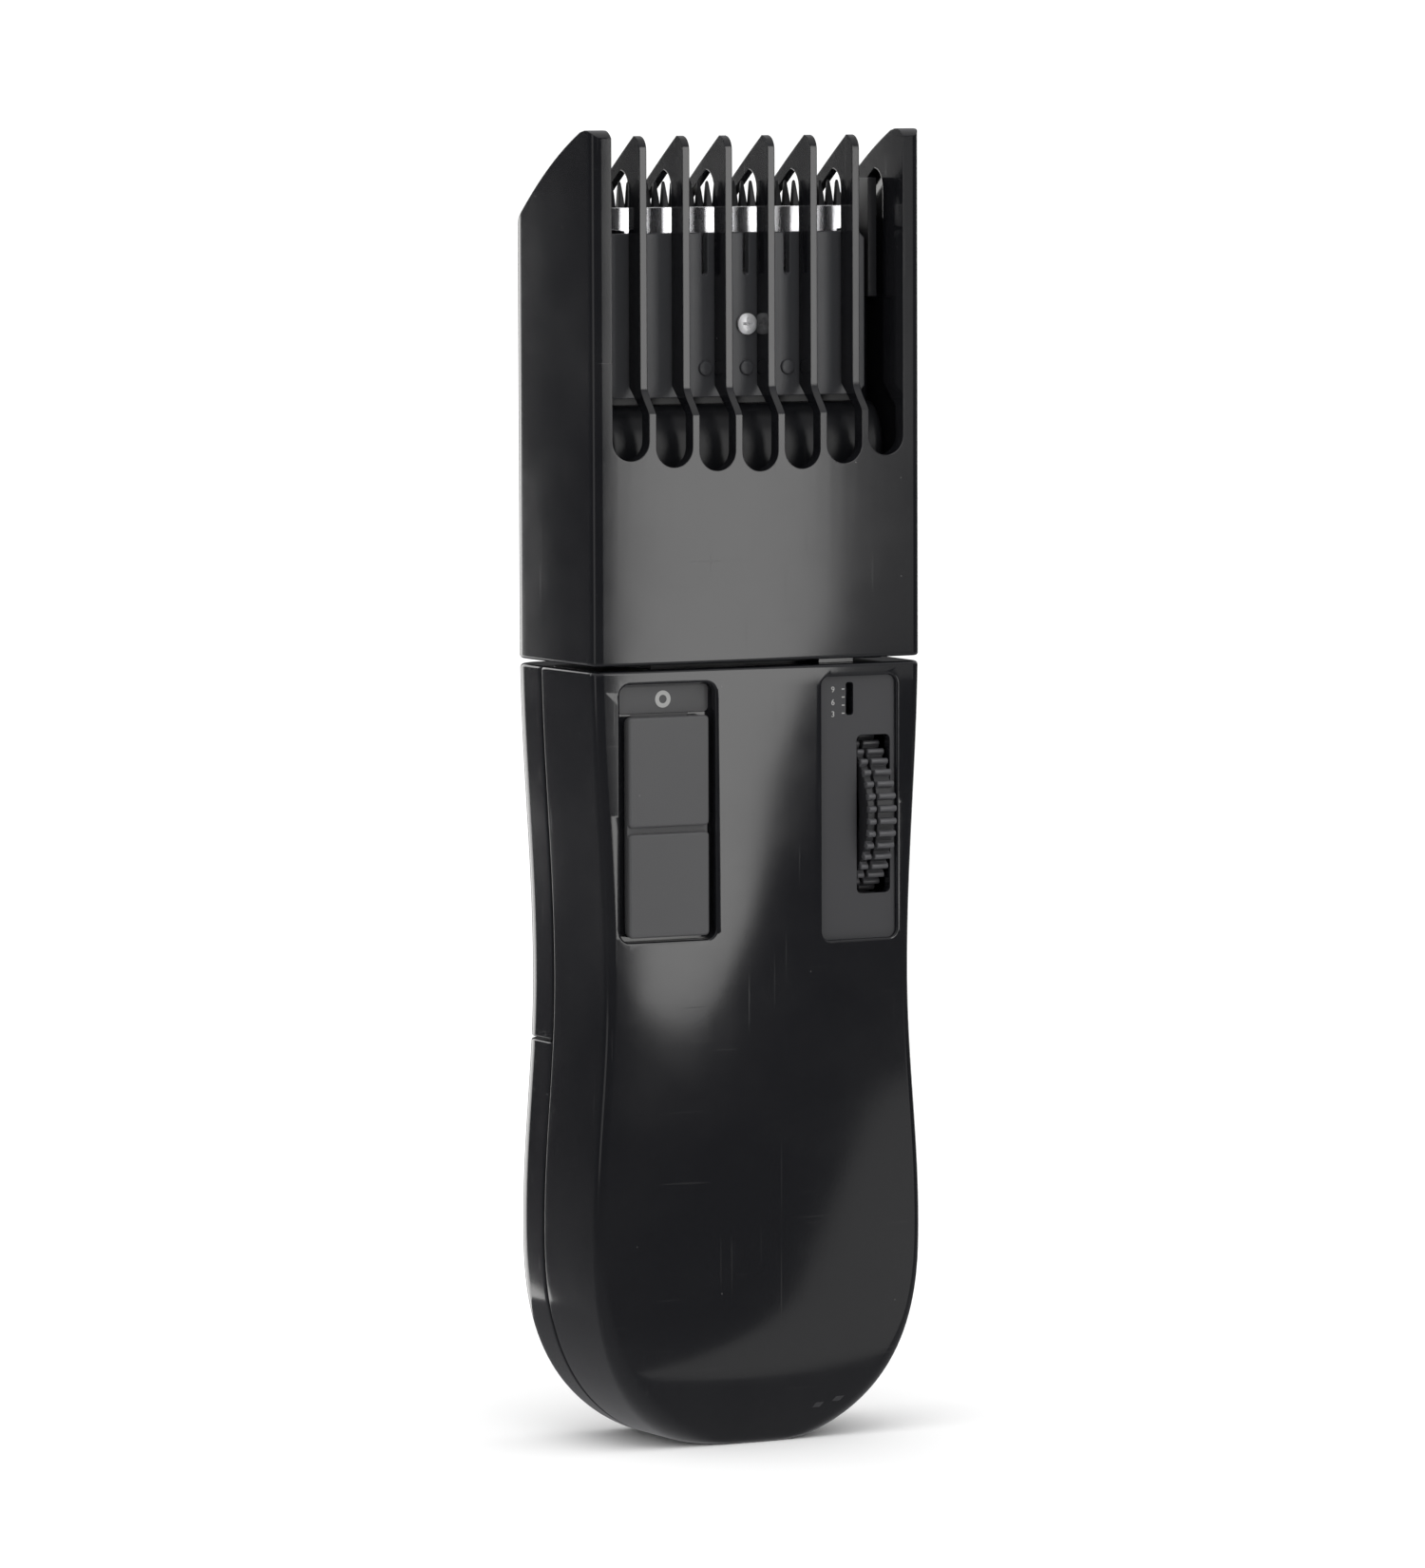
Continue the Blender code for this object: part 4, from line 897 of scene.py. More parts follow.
def comb_slots(bm):
    slots, pitch, fin, _ = slot_layout()
    width = pitch - fin
    for i in range(slots):
        x = (i - (slots - 1) / 2) * pitch
        floor = SLOT_FLOOR + SLOT_FLOOR_ARCH * (x / (pitch * 3)) ** 2
        outline = arc(x, floor + width / 2, width / 2, 180, 360, 20)
        outline += [(x + width / 2, COMB_HIGH.z + 9), (x - width / 2, COMB_HIGH.z + 9)]
        prism(bm, outline, "Y", -13.0, 9.0)


def make_guide_comb():
    mesh = solid("guide_comb", comb_outside)
    mesh = cut(mesh, comb_inside)
    mesh = join(mesh, fin_blank)
    mesh = cut(mesh, fin_front_step)
    mesh = cut(mesh, comb_slope)
    mesh = cut(mesh, fin_slope)
    return cut(mesh, comb_slots)


# ---------------------------------------------------------------- neck and head


def neck_ring(z, front, inset):
    front_radius, rear_radius = 1.6 - inset / 2, 3.0 - inset / 2
    half, face, back = NECK_HALF - inset, front + inset, NECK_REAR - inset
    runs = section(half, face, back, front_radius, rear_radius, 0.0, 0.0, 0.7)
    front_run, (start, end, side_at), rear_run = runs
    middle = (start + end) / 2
    return closed_ring(front_run + [(side_at(middle), middle)] + rear_run, z)


def neck_body(bm, inset, bottom, top, steps):
    """The neck, its rounded shoulder, then the slimmer head."""
    rings = [neck_ring(bottom, NECK_FRONT, inset)]
    depth = HEAD_FRONT - NECK_FRONT
    for i in range(steps):
        angle = math.pi / 2 * i / (steps - 1)
        z = SHOULDER_TOP - depth * (1 - math.sin(angle)) * 1.3
        rings.append(neck_ring(z - inset * 0.6, HEAD_FRONT - depth * math.cos(angle), inset))
    loft(bm, rings + [neck_ring(top, HEAD_FRONT, inset)])


def head_openings(bm):
    box(bm, -9.9, 9.9, -3.7, 5.7, 84.0, 95.0)
    box(bm, -5.0, 5.0, -1.4, 4.4, HEAD_TOP - 3.0, HEAD_TOP + 1.0)
    rod(bm, "Y", 0.0, PIVOT_Z, 1.5, NECK_FRONT - 1.0, NECK_REAR + 1.0)


def make_head_housing():
    mesh = solid("head_housing", neck_body, 0.0, HANDLE_TOP + 0.3, HEAD_TOP, 14)
    mesh = join(mesh, box, -TENON[0], TENON[0], TENON[1], TENON[2], 86.5, HANDLE_TOP + 1.5)
    mesh = cut(mesh, neck_body, NECK_WALL, 93.6, HEAD_TOP - 1.5, 8)
    screw_x = screw_centre("head_plate_screw")
    mesh = cut(mesh, rod, "Y", screw_x[0], screw_x[1], 0.95, -4.5, -1.6)
    return cut(mesh, head_openings)


def screw_centre(node):
    """The x and z of a screw's axis."""
    low, high = box_mm(node)
    return (low.x + high.x) / 2, (low.z + high.z) / 2


def head_plate_outline():
    """The plate with three open notches along its top edge."""
    screw_x = screw_centre("head_plate_screw")[0]
    low, high = PLATE_LOW, PLATE_HIGH
    outline = [(low.x, high.z - 0.8), (low.x, low.z + 1.0), (low.x + 1.0, low.z)]
    outline += [(high.x - 1.0, low.z), (high.x, low.z + 1.0)]
    outline += [(high.x, high.z - 0.8), (high.x - 0.8, high.z)]
    for i in (1, 0, -1):
        x = screw_x + PLATE_NOTCH_PITCH * i
        outline += [(x + 0.42, high.z), (x + 0.34, high.z - 0.4)]
        outline += arc(x, 137.4, 0.34, 0, -180, 6)
        outline += [(x - 0.34, high.z - 0.4), (x - 0.42, high.z)]
    return outline + [(low.x + 0.8, high.z)]


def make_head_plate():
    screw_x, screw_z = screw_centre("head_plate_screw")
    back = PLATE_HIGH.y
    front = -4.9
    mesh = solid("head_plate", plate, head_plate_outline(), "Y", back, front, 0.0, 0.16)
    mesh = cut(mesh, rod, "Y", screw_x, screw_z, 0.95, -6.0, 0.0)
    dome = [(0.4, 0.9), (-0.05, 0.9), (-0.25, 0.82), (-0.34, 0.6)]
    boss = solid("boss", turned, "Y", 0.0, 0.0, dome, 28)
    first = (screw_x - PLATE_NOTCH_PITCH, front, 126.2)
    bosses = repeated(boss, "grey_moulding", 3, first, (PLATE_NOTCH_PITCH, 0.0, 0.0))
    return merged("head_plate", mesh, bosses)


# ---------------------------------------------------------------- blades


def tooth(bm, pitch, front, back, root, tip):
    """One pointed tooth with a ground front face, centred on x = 0."""
    rows = [
        (root - 0.5, pitch * 0.36, 0.02, 0.0),
        (root, pitch * 0.36, 0.02, 0.0),
        (root + (tip - root) * 0.5, pitch * 0.25, 0.16, 0.0),
        (tip - 0.35, pitch * 0.16, 0.42, 0.0),
        (tip - 0.08, pitch * 0.12, 0.5, 0.08),
        (tip, pitch * 0.05, 0.56, 0.14),
    ]
    rings = []
    for z, half, ground, relief in rows:
        y0, y1 = front + ground, back - 0.02 - relief
        ease_off = min(0.06, half * 0.4)
        rings.append(
            [
                (-half + ease_off, y0, z),
                (half - ease_off, y0, z),
                (half, y0 + ease_off, z),
                (half, y1, z),
                (-half, y1, z),
                (-half, y0 + ease_off, z),
            ]
        )
    loft(bm, rings)


def tooth_row(low, high, teeth, root):
    """A row of teeth that fills a blade's width."""
    pitch = (high.x - low.x) / teeth
    one = solid("tooth", tooth, pitch, low.y, high.y, root, high.z)
    return repeated(one, "ground_steel", teeth, (low.x + pitch / 2, 0.0, 0.0), (pitch, 0.0, 0.0))


def make_fixed_blade():
    teeth, root = bpy.context.scene.groomer_blades.teeth, lengths("groomer_blades", "root")[0]
    low, high = BLADE_LOW, BLADE_HIGH
    foot_half, shoulder = 14.0, root - 2.8
    outline = [(-foot_half, low.z), (foot_half, low.z), (foot_half, shoulder), (high.x, shoulder + 0.3)]
    outline += [(high.x, root), (low.x, root), (low.x, shoulder + 0.3), (-foot_half, shoulder)]
    mesh = solid("fixed_blade", plate, outline, "Y", high.y, low.y, 0.05, 0.08)
    screw_x, screw_z = screw_centre("blade_screw_right")
    for side in (-1, 1):
        mesh = cut(mesh, rod, "Y", side * screw_x, screw_z, 1.9, low.y - 1.0, high.y + 1.0, 40)
    mesh = merged("fixed_blade", mesh, tooth_row(low, high, teeth, root))
    # The teeth take the near-black copy of the blade steel: painted shade.
    repaint(mesh, 1, lambda at, n: at.z > root + 0.05)
    repaint(mesh, 2, lambda at, n: at.z < shoulder - 0.1)
    return mesh


def make_moving_blade():
    teeth, root = bpy.context.scene.groomer_blades.moving_teeth, lengths("groomer_blades", "root")[0]
    low, high = MOVING_LOW, MOVING_HIGH
    shoulder = root - 3.2
    outline = [(-5.0, low.z), (-1.4, low.z), (-1.4, 141.0), (1.4, 141.0), (1.4, low.z), (5.0, low.z)]
    outline += [(5.0, shoulder), (high.x, shoulder), (high.x, root), (low.x, root), (low.x, shoulder)]
    outline.append((-5.0, shoulder))
    mesh = solid("moving_blade", plate, outline, "Y", high.y, low.y, 0.05, 0.05)
    return merged("moving_blade", mesh, tooth_row(low, high, teeth, root))


# ---------------------------------------------------------------- controls


def pad_body(bm):
    """The slab under the switch pad's two cushions."""
    low, high = PAD_LOW, PAD_HIGH
    middle = (low.z + high.z) / 2
    slab = rounded_rectangle(PAD_X, middle, high.x - low.x, high.z - low.z, 0.8)
    prism(bm, slab, "Y", POCKET_FLOOR - 0.3, -10.5)


def pad_cushion(bm, low_z, high_z):
    middle, width = (low_z + high_z) / 2, PAD_HIGH.x - PAD_LOW.x
    outline = rounded_rectangle(PAD_X, middle, width, high_z - low_z, 0.5)
    plate(bm, outline, "Y", -10.45, PAD_LOW.y, 0.0, 0.28)


def pad_stem(bm):
    box(bm, PAD_X - 1.6, PAD_X + 1.6, -9.9, PAD_HIGH.y, 68.4, 77.0)


def make_switch_slider():
    mesh = solid("switch_slider", pad_body)
    mesh = join(mesh, pad_cushion, PAD_LOW.z, PAD_GROOVE_Z - HALF_GROOVE)
    mesh = join(mesh, pad_cushion, PAD_GROOVE_Z + HALF_GROOVE, PAD_HIGH.z)
    return join(mesh, pad_stem)


def wheel_rib(bm, radius, height, width, start, end):
    """One rounded rib along X, at the top of a wheel centred on the origin."""
    base = radius - height - 0.15
    outline = [(-width / 2, base), (-width / 2, radius - height * 0.35)]
    outline += arc(0.0, radius - height * 0.42, width / 2 * 0.94, 160, 20, 6)
    outline += [(width / 2, radius - height * 0.35), (width / 2, base)]
    plate(bm, outline, "X", start, end, 0.1, 0.1)


def make_length_wheel():
    settings = bpy.context.scene.groomer_wheel
    height, groove = lengths("groomer_wheel", "rib_height", "groove")
    low, high = WHEEL_LOW, WHEEL_HIGH
    y, z = (low.y + high.y) / 2, (low.z + high.z) / 2
    radius = (high.z - low.z) / 2 - 0.06
    drum = radius - height
    split = low.x + 1.0
    profile = [
        (low.x + 0.02, drum - 0.35),
        (low.x + 0.2, drum),
        (split, drum),
        (split + 0.05, drum - 0.5),
        (split + groove - 0.05, drum - 0.5),
        (split + groove, drum),
        (high.x - 0.2, drum),
        (high.x - 0.02, drum - 0.35),
    ]
    mesh = solid("length_wheel", turned, "X", y, z, profile, 96)
    mesh = cut(mesh, turned, "X", y, z, [(low.x - 1.0, 7.6), (low.x + 1.2, 7.6)], 64)
    mesh = join(mesh, turned, "X", y, z, [(low.x, 2.6), (low.x + 2.0, 2.6)], 32)
    mesh = cut(mesh, turned, "X", y, z, [(low.x - 3.0, 1.3), (high.x + 3.0, 1.3)], 32)
    pitch = 2 * math.pi * radius / settings.ribs
    turn = 2 * math.pi / settings.ribs
    rows = []
    for start, end in ((low.x + 0.05, split), (split + groove, high.x - 0.05)):
        rib = solid("rib", wheel_rib, radius, height, pitch * 0.46, start, end)
        rows.append(repeated(rib, "wheel_plastic", settings.ribs, (0.0, y, z), turn=(turn, 0.0, 0.0)))
    mesh = merged("length_wheel", mesh, *rows)
    # The drum between the ribs takes the darker satin plastic: painted shade in the gaps.
    repaint(mesh, 1, lambda at, n: math.hypot(at.y - y, at.z - z) < drum + 0.05)
    return mesh


def ring_mark(bm, x, z, outer, inner, front, back):
    """A flat printed ring that faces -Y."""
    part = bmesh.new()
    steps = 48
    rows = []
    for radius, y in ((inner, back), (inner, front), (outer, front), (outer, back)):
        rows.append([part.verts.new((u, y, v)) for u, v in circle(x, z, radius, steps)])
    for row, after in zip(rows, rows[1:] + rows[:1]):
        for i in range(steps):
            j = (i + 1) % steps
            part.faces.new((row[i], row[j], after[j], after[i]))
    move_into(bm, part)


def digit(figure, size, x, z, y, thickness):
    """A plain figure that faces -Y."""
    curve = bpy.data.curves.new("figure", "FONT")
    curve.body = figure
    curve.size = size * MM
    curve.extrude = thickness / 2 * MM
    curve.align_x = "CENTER"
    curve.align_y = "CENTER"
    obj = helper_object("figure", curve)
    mesh = evaluated_mesh(obj, "figure")
    bpy.data.objects.remove(obj)
    bpy.data.curves.remove(curve)
    mesh.transform(Matrix.Translation(Vector((x, y, z)) * MM) @ Matrix.Rotation(math.pi / 2, 4, "X"))
    return mesh


def make_printed_marks():
    """The switch's ring mark and the length scale beside the pointer."""
    thickness = 0.03
    front = POCKET_FLOOR - INLAY - thickness
    meshes = [solid("ring", ring_mark, RING_MARK_X, MARK_Z, 1.0, 0.5, front, POCKET_FLOOR)]
    for figure, z in (("9", 88.4), ("6", 86.9), ("3", 85.5)):
        meshes.append(digit(figure, FIGURE_SIZE, FIGURE_X, z, PANEL_Y - 0.01, thickness))
    line = [(-0.18, -0.06), (0.18, -0.06), (0.18, 0.06), (-0.18, 0.06)]
    tick = solid("tick", plate, line, "Y", 0.02, -0.03, 0.0, 0.0)
    meshes.append(repeated(tick, "printed_ink", 4, (11.25, PANEL_Y, 85.6), (0.0, 0.0, 0.95)))
    return merged("printed_marks", *meshes)


# ---------------------------------------------------------------- screws


def screw_body(bm, head_radius, head_height, shank_radius, length):
    """A pan head on a shank along +Y, its head face near the origin."""
    profile = [(0.0, head_radius * 0.5), (head_height * 0.12, head_radius * 0.78)]
    profile += [(head_height * 0.45, head_radius), (head_height, head_radius)]
    profile.append((head_height + 0.01, shank_radius))
    turns = max(4, int(length / 0.45))
    for i in range(turns):
        at = head_height + 0.1 + (length - 0.6) * i / turns
        profile += [(at, shank_radius), (at + 0.2, shank_radius * 0.8)]
    end = head_height + length
    profile += [(end - 0.4, shank_radius * 0.8), (end, shank_radius * 0.25)]
    turned(bm, "Y", 0.0, 0.0, profile, 40)


def cross_recess(bm, reach, slot, depth):
    """A tapered cross."""
    rings = []
    for y, share in ((-1.0, 1.0), (0.0, 1.0), (depth, 0.45)):
        a, b = reach * share, slot * share
        ring = [(b, b), (a, b), (a, -b), (b, -b), (b, -a), (-b, -a)]
        ring += [(-b, -b), (-a, -b), (-a, b), (-b, b), (-b, a), (b, a)]
        rings.append([(u, y, v) for u, v in ring])
    loft(bm, rings)


def make_screw(head_radius, head_height, shank_radius, length):
    mesh = solid("screw", screw_body, head_radius, head_height, shank_radius, length)
    return cut(mesh, cross_recess, head_radius * 0.58, head_radius * 0.15, head_height * 0.75)


def placed_screws(node, other, head_at_low):
    """A screw in its CAD node's place, or a pair mirrored in x."""
    low, high = box_mm(node)
    x, z = (low.x + high.x) / 2, (low.z + high.z) / 2
    head_radius = (high.x - low.x) / 2
    depth = high.y - low.y
    shank_radius = head_radius * 0.5
    head_height = head_radius * 0.42
    mesh = make_screw(head_radius, head_height, shank_radius, depth - head_height)
    if not head_at_low:
        mesh.transform(Matrix.Rotation(math.pi, 4, "Z"))
    start = (x, low.y if head_at_low else high.y, z)
    if other is None:
        return repeated(mesh, "ground_steel", 1, start)
    other_low, other_high = box_mm(other)
    return repeated(mesh, "ground_steel", 2, start, ((other_low.x + other_high.x) / 2 - x, 0.0, 0.0))


# ---------------------------------------------------------------- materials


def group_tree(name, inputs, outputs):
    """A new shader group; inputs are (label, kind, value) and outputs are (label, kind)."""
    tree = bpy.data.node_groups.new(name, "ShaderNodeTree")
    for label, kind, value in inputs:
        socket = tree.interface.new_socket(label, in_out="INPUT", socket_type="NodeSocket" + kind)
        if value is not None:
            socket.default_value = value
    for label, kind in outputs:
        tree.interface.new_socket(label, in_out="OUTPUT", socket_type="NodeSocket" + kind)
    return tree, tree.nodes.new("NodeGroupInput"), tree.nodes.new("NodeGroupOutput")


SURFACE_OUTPUTS = [("Colour", "Color"), ("Roughness", "Float"), ("Height", "Float")]


def link_surface(tree, out, *values):
    """Joins a colour, a roughness and a height to a shader group's outputs."""
    for (label, _), value in zip(SURFACE_OUTPUTS, values):
        tree.links.new(value, out.inputs[label])


def math_node(tree, operation, first, second, clamp=False):
    """A Math node; each side is a socket or a number."""
    node = tree.nodes.new("ShaderNodeMath")
    node.operation = operation
    node.use_clamp = clamp
    for socket, value in zip(node.inputs, (first, second)):
        if isinstance(value, (int, float)):
            socket.default_value = value
        else:
            tree.links.new(value, socket)
    return node.outputs[0]


def noise(tree, vector, scale, detail=2.0, roughness=0.5, stretch=None):
    """A noise value over a vector, stretched along an axis where asked."""
    if stretch is not None:
        mapping = tree.nodes.new("ShaderNodeMapping")
        mapping.inputs["Scale"].default_value = stretch
        tree.links.new(vector, mapping.inputs["Vector"])
        vector = mapping.outputs["Vector"]
    node = tree.nodes.new("ShaderNodeTexNoise")
    tree.links.new(vector, node.inputs["Vector"])
    if isinstance(scale, (int, float)):
        node.inputs["Scale"].default_value = scale
    else:
        tree.links.new(scale, node.inputs["Scale"])
    node.inputs["Detail"].default_value = detail
    node.inputs["Roughness"].default_value = roughness
    return node.outputs["Fac"]


def remap(tree, value, low, high, to_low=0.0, to_high=1.0):
    node = tree.nodes.new("ShaderNodeMapRange")
    node.clamp = True
    tree.links.new(value, node.inputs["Value"])
    limits = {"From Min": low, "From Max": high, "To Min": to_low, "To Max": to_high}
    for label, number in limits.items():
        if isinstance(number, (int, float)):
            node.inputs[label].default_value = number
        else:
            tree.links.new(number, node.inputs[label])
    return node.outputs["Result"]


def mixed_colour(tree, share, first, second, blend="MIX"):
    node = tree.nodes.new("ShaderNodeMix")
    node.data_type = "RGBA"
    node.blend_type = blend
    for label, value in (("Factor", share), ("A", first), ("B", second)):
        socket = node.inputs[label]
        if isinstance(value, (int, float)):
            socket.default_value = value
        elif isinstance(value, tuple):
            socket.default_value = (*value, 1.0)
        else:
            tree.links.new(value, socket)
    return node.outputs["Result"]


def moulded_group():
    """Moulded plastic: fine grain, faint handling smears, hairline scratches and a little dust."""
    tree, source, out = group_tree(
        "moulded_surface",
        [
            ("Vector", "Vector", None),
            ("Colour", "Color", (0.01, 0.01, 0.012, 1.0)),
            ("Roughness", "Float", 0.15),
            ("Smear", "Float", 0.06),
            ("Grain Scale", "Float", 4000.0),
            ("Grain", "Float", 0.2),
            ("Scratches", "Float", 0.5),
            ("Dust", "Float", 0.3),
        ],
        SURFACE_OUTPUTS,
    )
    at = source.outputs["Vector"]
    smear = remap(tree, noise(tree, at, 46.0, 4.0, 0.62), 0.42, 0.72)
    broad = noise(tree, at, 14.0, 2.0, 0.5)
    grain = noise(tree, at, source.outputs["Grain Scale"], 2.0, 0.6)
    hair = noise(tree, at, 1.0, 1.0, 0.5, (2600.0, 2600.0, 55.0))
    across = noise(tree, at, 1.0, 1.0, 0.5, (70.0, 900.0, 2400.0))
    streak = math_node(tree, "MAXIMUM", remap(tree, hair, 0.735, 0.78), remap(tree, across, 0.74, 0.79))
    streak = math_node(tree, "MULTIPLY", streak, source.outputs["Scratches"])
    speck = tree.nodes.new("ShaderNodeTexVoronoi")
    speck.inputs["Scale"].default_value = 420.0
    tree.links.new(at, speck.inputs["Vector"])
    speck_mask = remap(tree, speck.outputs["Distance"], 0.05, 0.035)
    chance = remap(tree, noise(tree, at, 210.0, 1.0, 0.5), 0.6, 0.64)
    speck_mask = math_node(tree, "MULTIPLY", speck_mask, chance)
    speck_mask = math_node(tree, "MULTIPLY", speck_mask, source.outputs["Dust"])
    film = math_node(tree, "MULTIPLY", smear, source.outputs["Dust"])
    film = math_node(tree, "MULTIPLY", film, 0.012)
    haze = math_node(tree, "ADD", film, math_node(tree, "MULTIPLY", streak, 0.03))
    share = math_node(tree, "ADD", haze, math_node(tree, "MULTIPLY", speck_mask, 0.25), clamp=True)
    shade = remap(tree, broad, 0.3, 0.7, 0.0, 0.35)
    varied = mixed_colour(tree, shade, source.outputs["Colour"], (0.6, 0.6, 0.64), "MULTIPLY")
    tinted = mixed_colour(tree, share, varied, (0.42, 0.41, 0.4))
    rough = math_node(tree, "MULTIPLY", smear, source.outputs["Smear"])
    rough = math_node(tree, "ADD", source.outputs["Roughness"], rough)
    rough = math_node(tree, "ADD", rough, math_node(tree, "MULTIPLY", streak, 0.12))
    rough = math_node(tree, "ADD", rough, math_node(tree, "MULTIPLY", speck_mask, 0.3), clamp=True)
    height = math_node(tree, "MULTIPLY", grain, source.outputs["Grain"])
    height = math_node(tree, "SUBTRACT", height, math_node(tree, "MULTIPLY", streak, 0.4))
    link_surface(tree, out, tinted, rough, height)
    return tree


def metal_group():
    """Ground or drawn metal: fine strokes along one axis, faint stains and tiny pits."""
    tree, source, out = group_tree(
        "worked_metal",
        [
            ("Vector", "Vector", None),
            ("Colour", "Color", (0.6, 0.6, 0.6, 1.0)),
            ("Roughness", "Float", 0.25),
            ("Stroke", "Float", 0.5),
            ("Stain", "Float", 0.3),
        ],
        SURFACE_OUTPUTS,
    )
    at = source.outputs["Vector"]
    fine = noise(tree, at, 1.0, 3.0, 0.6, (7000.0, 7000.0, 260.0))
    bands = noise(tree, at, 1.0, 2.0, 0.5, (900.0, 900.0, 60.0))
    stain = remap(tree, noise(tree, at, 320.0, 4.0, 0.65), 0.5, 0.75)
    pits = remap(tree, noise(tree, at, 3400.0, 1.0, 0.5), 0.68, 0.74)
    stain = math_node(tree, "MULTIPLY", stain, source.outputs["Stain"])
    stroke = math_node(tree, "MULTIPLY", fine, source.outputs["Stroke"])
    shade = remap(tree, bands, 0.3, 0.7, 0.0, 0.3)
    toned = mixed_colour(tree, shade, source.outputs["Colour"], (0.72, 0.72, 0.74), "MULTIPLY")
    shade = math_node(tree, "MULTIPLY", stain, 0.6, clamp=True)
    toned = mixed_colour(tree, shade, toned, (0.2, 0.17, 0.14), "MULTIPLY")
    rough = math_node(tree, "MULTIPLY", stroke, 0.18)
    rough = math_node(tree, "ADD", source.outputs["Roughness"], rough)
    rough = math_node(tree, "ADD", rough, math_node(tree, "MULTIPLY", stain, 0.25), clamp=True)
    height = math_node(tree, "SUBTRACT", stroke, math_node(tree, "MULTIPLY", pits, 0.5))
    link_surface(tree, out, toned, rough, height)
    return tree


def wound_group():
    """Wire wound round Z: a ripple with slight changes from turn to turn, and painted shade in the
    crevices between turns.
    """
    tree, source, out = group_tree(
        "wound_wire",
        [
            ("Vector", "Vector", None),
            ("Colour", "Color", (0.6, 0.3, 0.14, 1.0)),
            ("Turns", "Float", 2600.0),
        ],
        SURFACE_OUTPUTS,
    )
    at = source.outputs["Vector"]
    apart = tree.nodes.new("ShaderNodeSeparateXYZ")
    tree.links.new(at, apart.inputs["Vector"])
    phase = math_node(tree, "MULTIPLY", apart.outputs["Z"], source.outputs["Turns"])
    wander = noise(tree, at, 900.0, 2.0, 0.5)
    phase = math_node(tree, "ADD", phase, math_node(tree, "MULTIPLY", wander, 3.0))
    ripple = math_node(tree, "ABSOLUTE", math_node(tree, "SINE", phase, 0.0), 0.0)
    # Painted shade: the colour darkens where the ripple is low, in the crevices between turns.
    shade = remap(tree, ripple, 0.0, 0.6, 0.8, 0.0)
    toned = mixed_colour(tree, shade, source.outputs["Colour"], (0.1, 0.05, 0.03))
    link_surface(tree, out, toned, remap(tree, wander, 0.3, 0.7, 0.28, 0.45), ripple)
    return tree


def finish_material(name, group, values, metallic, bump, edge, height_distance, specular=0.5):
    """A Principled material whose colour, roughness and bump come from a shared group.

    edge is the radius in millimetres by which the shading rounds sharp edges.
    """
    material = bpy.data.materials.get(name) or bpy.data.materials.new(name)
    material.use_nodes = True
    tree = material.node_tree
    tree.nodes.clear()
    out = tree.nodes.new("ShaderNodeOutputMaterial")
    shader = tree.nodes.new("ShaderNodeBsdfPrincipled")
    places = tree.nodes.new("ShaderNodeTexCoord")
    surface = tree.nodes.new("ShaderNodeGroup")
    surface.node_tree = bpy.data.node_groups[group]
    tree.links.new(places.outputs["Object"], surface.inputs["Vector"])
    for label, value in values.items():
        surface.inputs[label].default_value = (*value, 1.0) if isinstance(value, tuple) else value
    height = tree.nodes.new("ShaderNodeBump")
    height.inputs["Strength"].default_value = bump
    height.inputs["Distance"].default_value = height_distance * MM
    tree.links.new(surface.outputs["Height"], height.inputs["Height"])
    if edge:
        rounding = tree.nodes.new("ShaderNodeBevel")
        rounding.samples = 6
        rounding.inputs["Radius"].default_value = edge * MM
        tree.links.new(rounding.outputs["Normal"], height.inputs["Normal"])
    tree.links.new(height.outputs["Normal"], shader.inputs["Normal"])
    tree.links.new(surface.outputs["Colour"], shader.inputs["Base Color"])
    tree.links.new(surface.outputs["Roughness"], shader.inputs["Roughness"])
    shader.inputs["Metallic"].default_value = metallic
    shader.inputs["Specular IOR Level"].default_value = specular
    tree.links.new(shader.outputs["BSDF"], out.inputs["Surface"])
    if isinstance(values["Colour"], tuple):
        material.diffuse_color = (*values["Colour"], 1.0)
    return material


def make_plastic(
    name, colour, roughness, smear, grain_scale, grain, scratches, dust, edge, bump=0.15, specular=0.5
):
    values = {
        "Colour": tuple(colour),
        "Roughness": roughness,
        "Smear": smear,
        "Grain Scale": grain_scale,
        "Grain": grain,
        "Scratches": scratches,
        "Dust": dust,
    }
    finish_material(name, "moulded_surface", values, 0.0, bump, edge, 0.02, specular)


def make_metal(name, colour, roughness, stroke, stain, edge, bump=0.25, metallic=1.0):
    values = {"Colour": colour, "Roughness": roughness, "Stroke": stroke, "Stain": stain}
    finish_material(name, "worked_metal", values, metallic, bump, edge, 0.01)


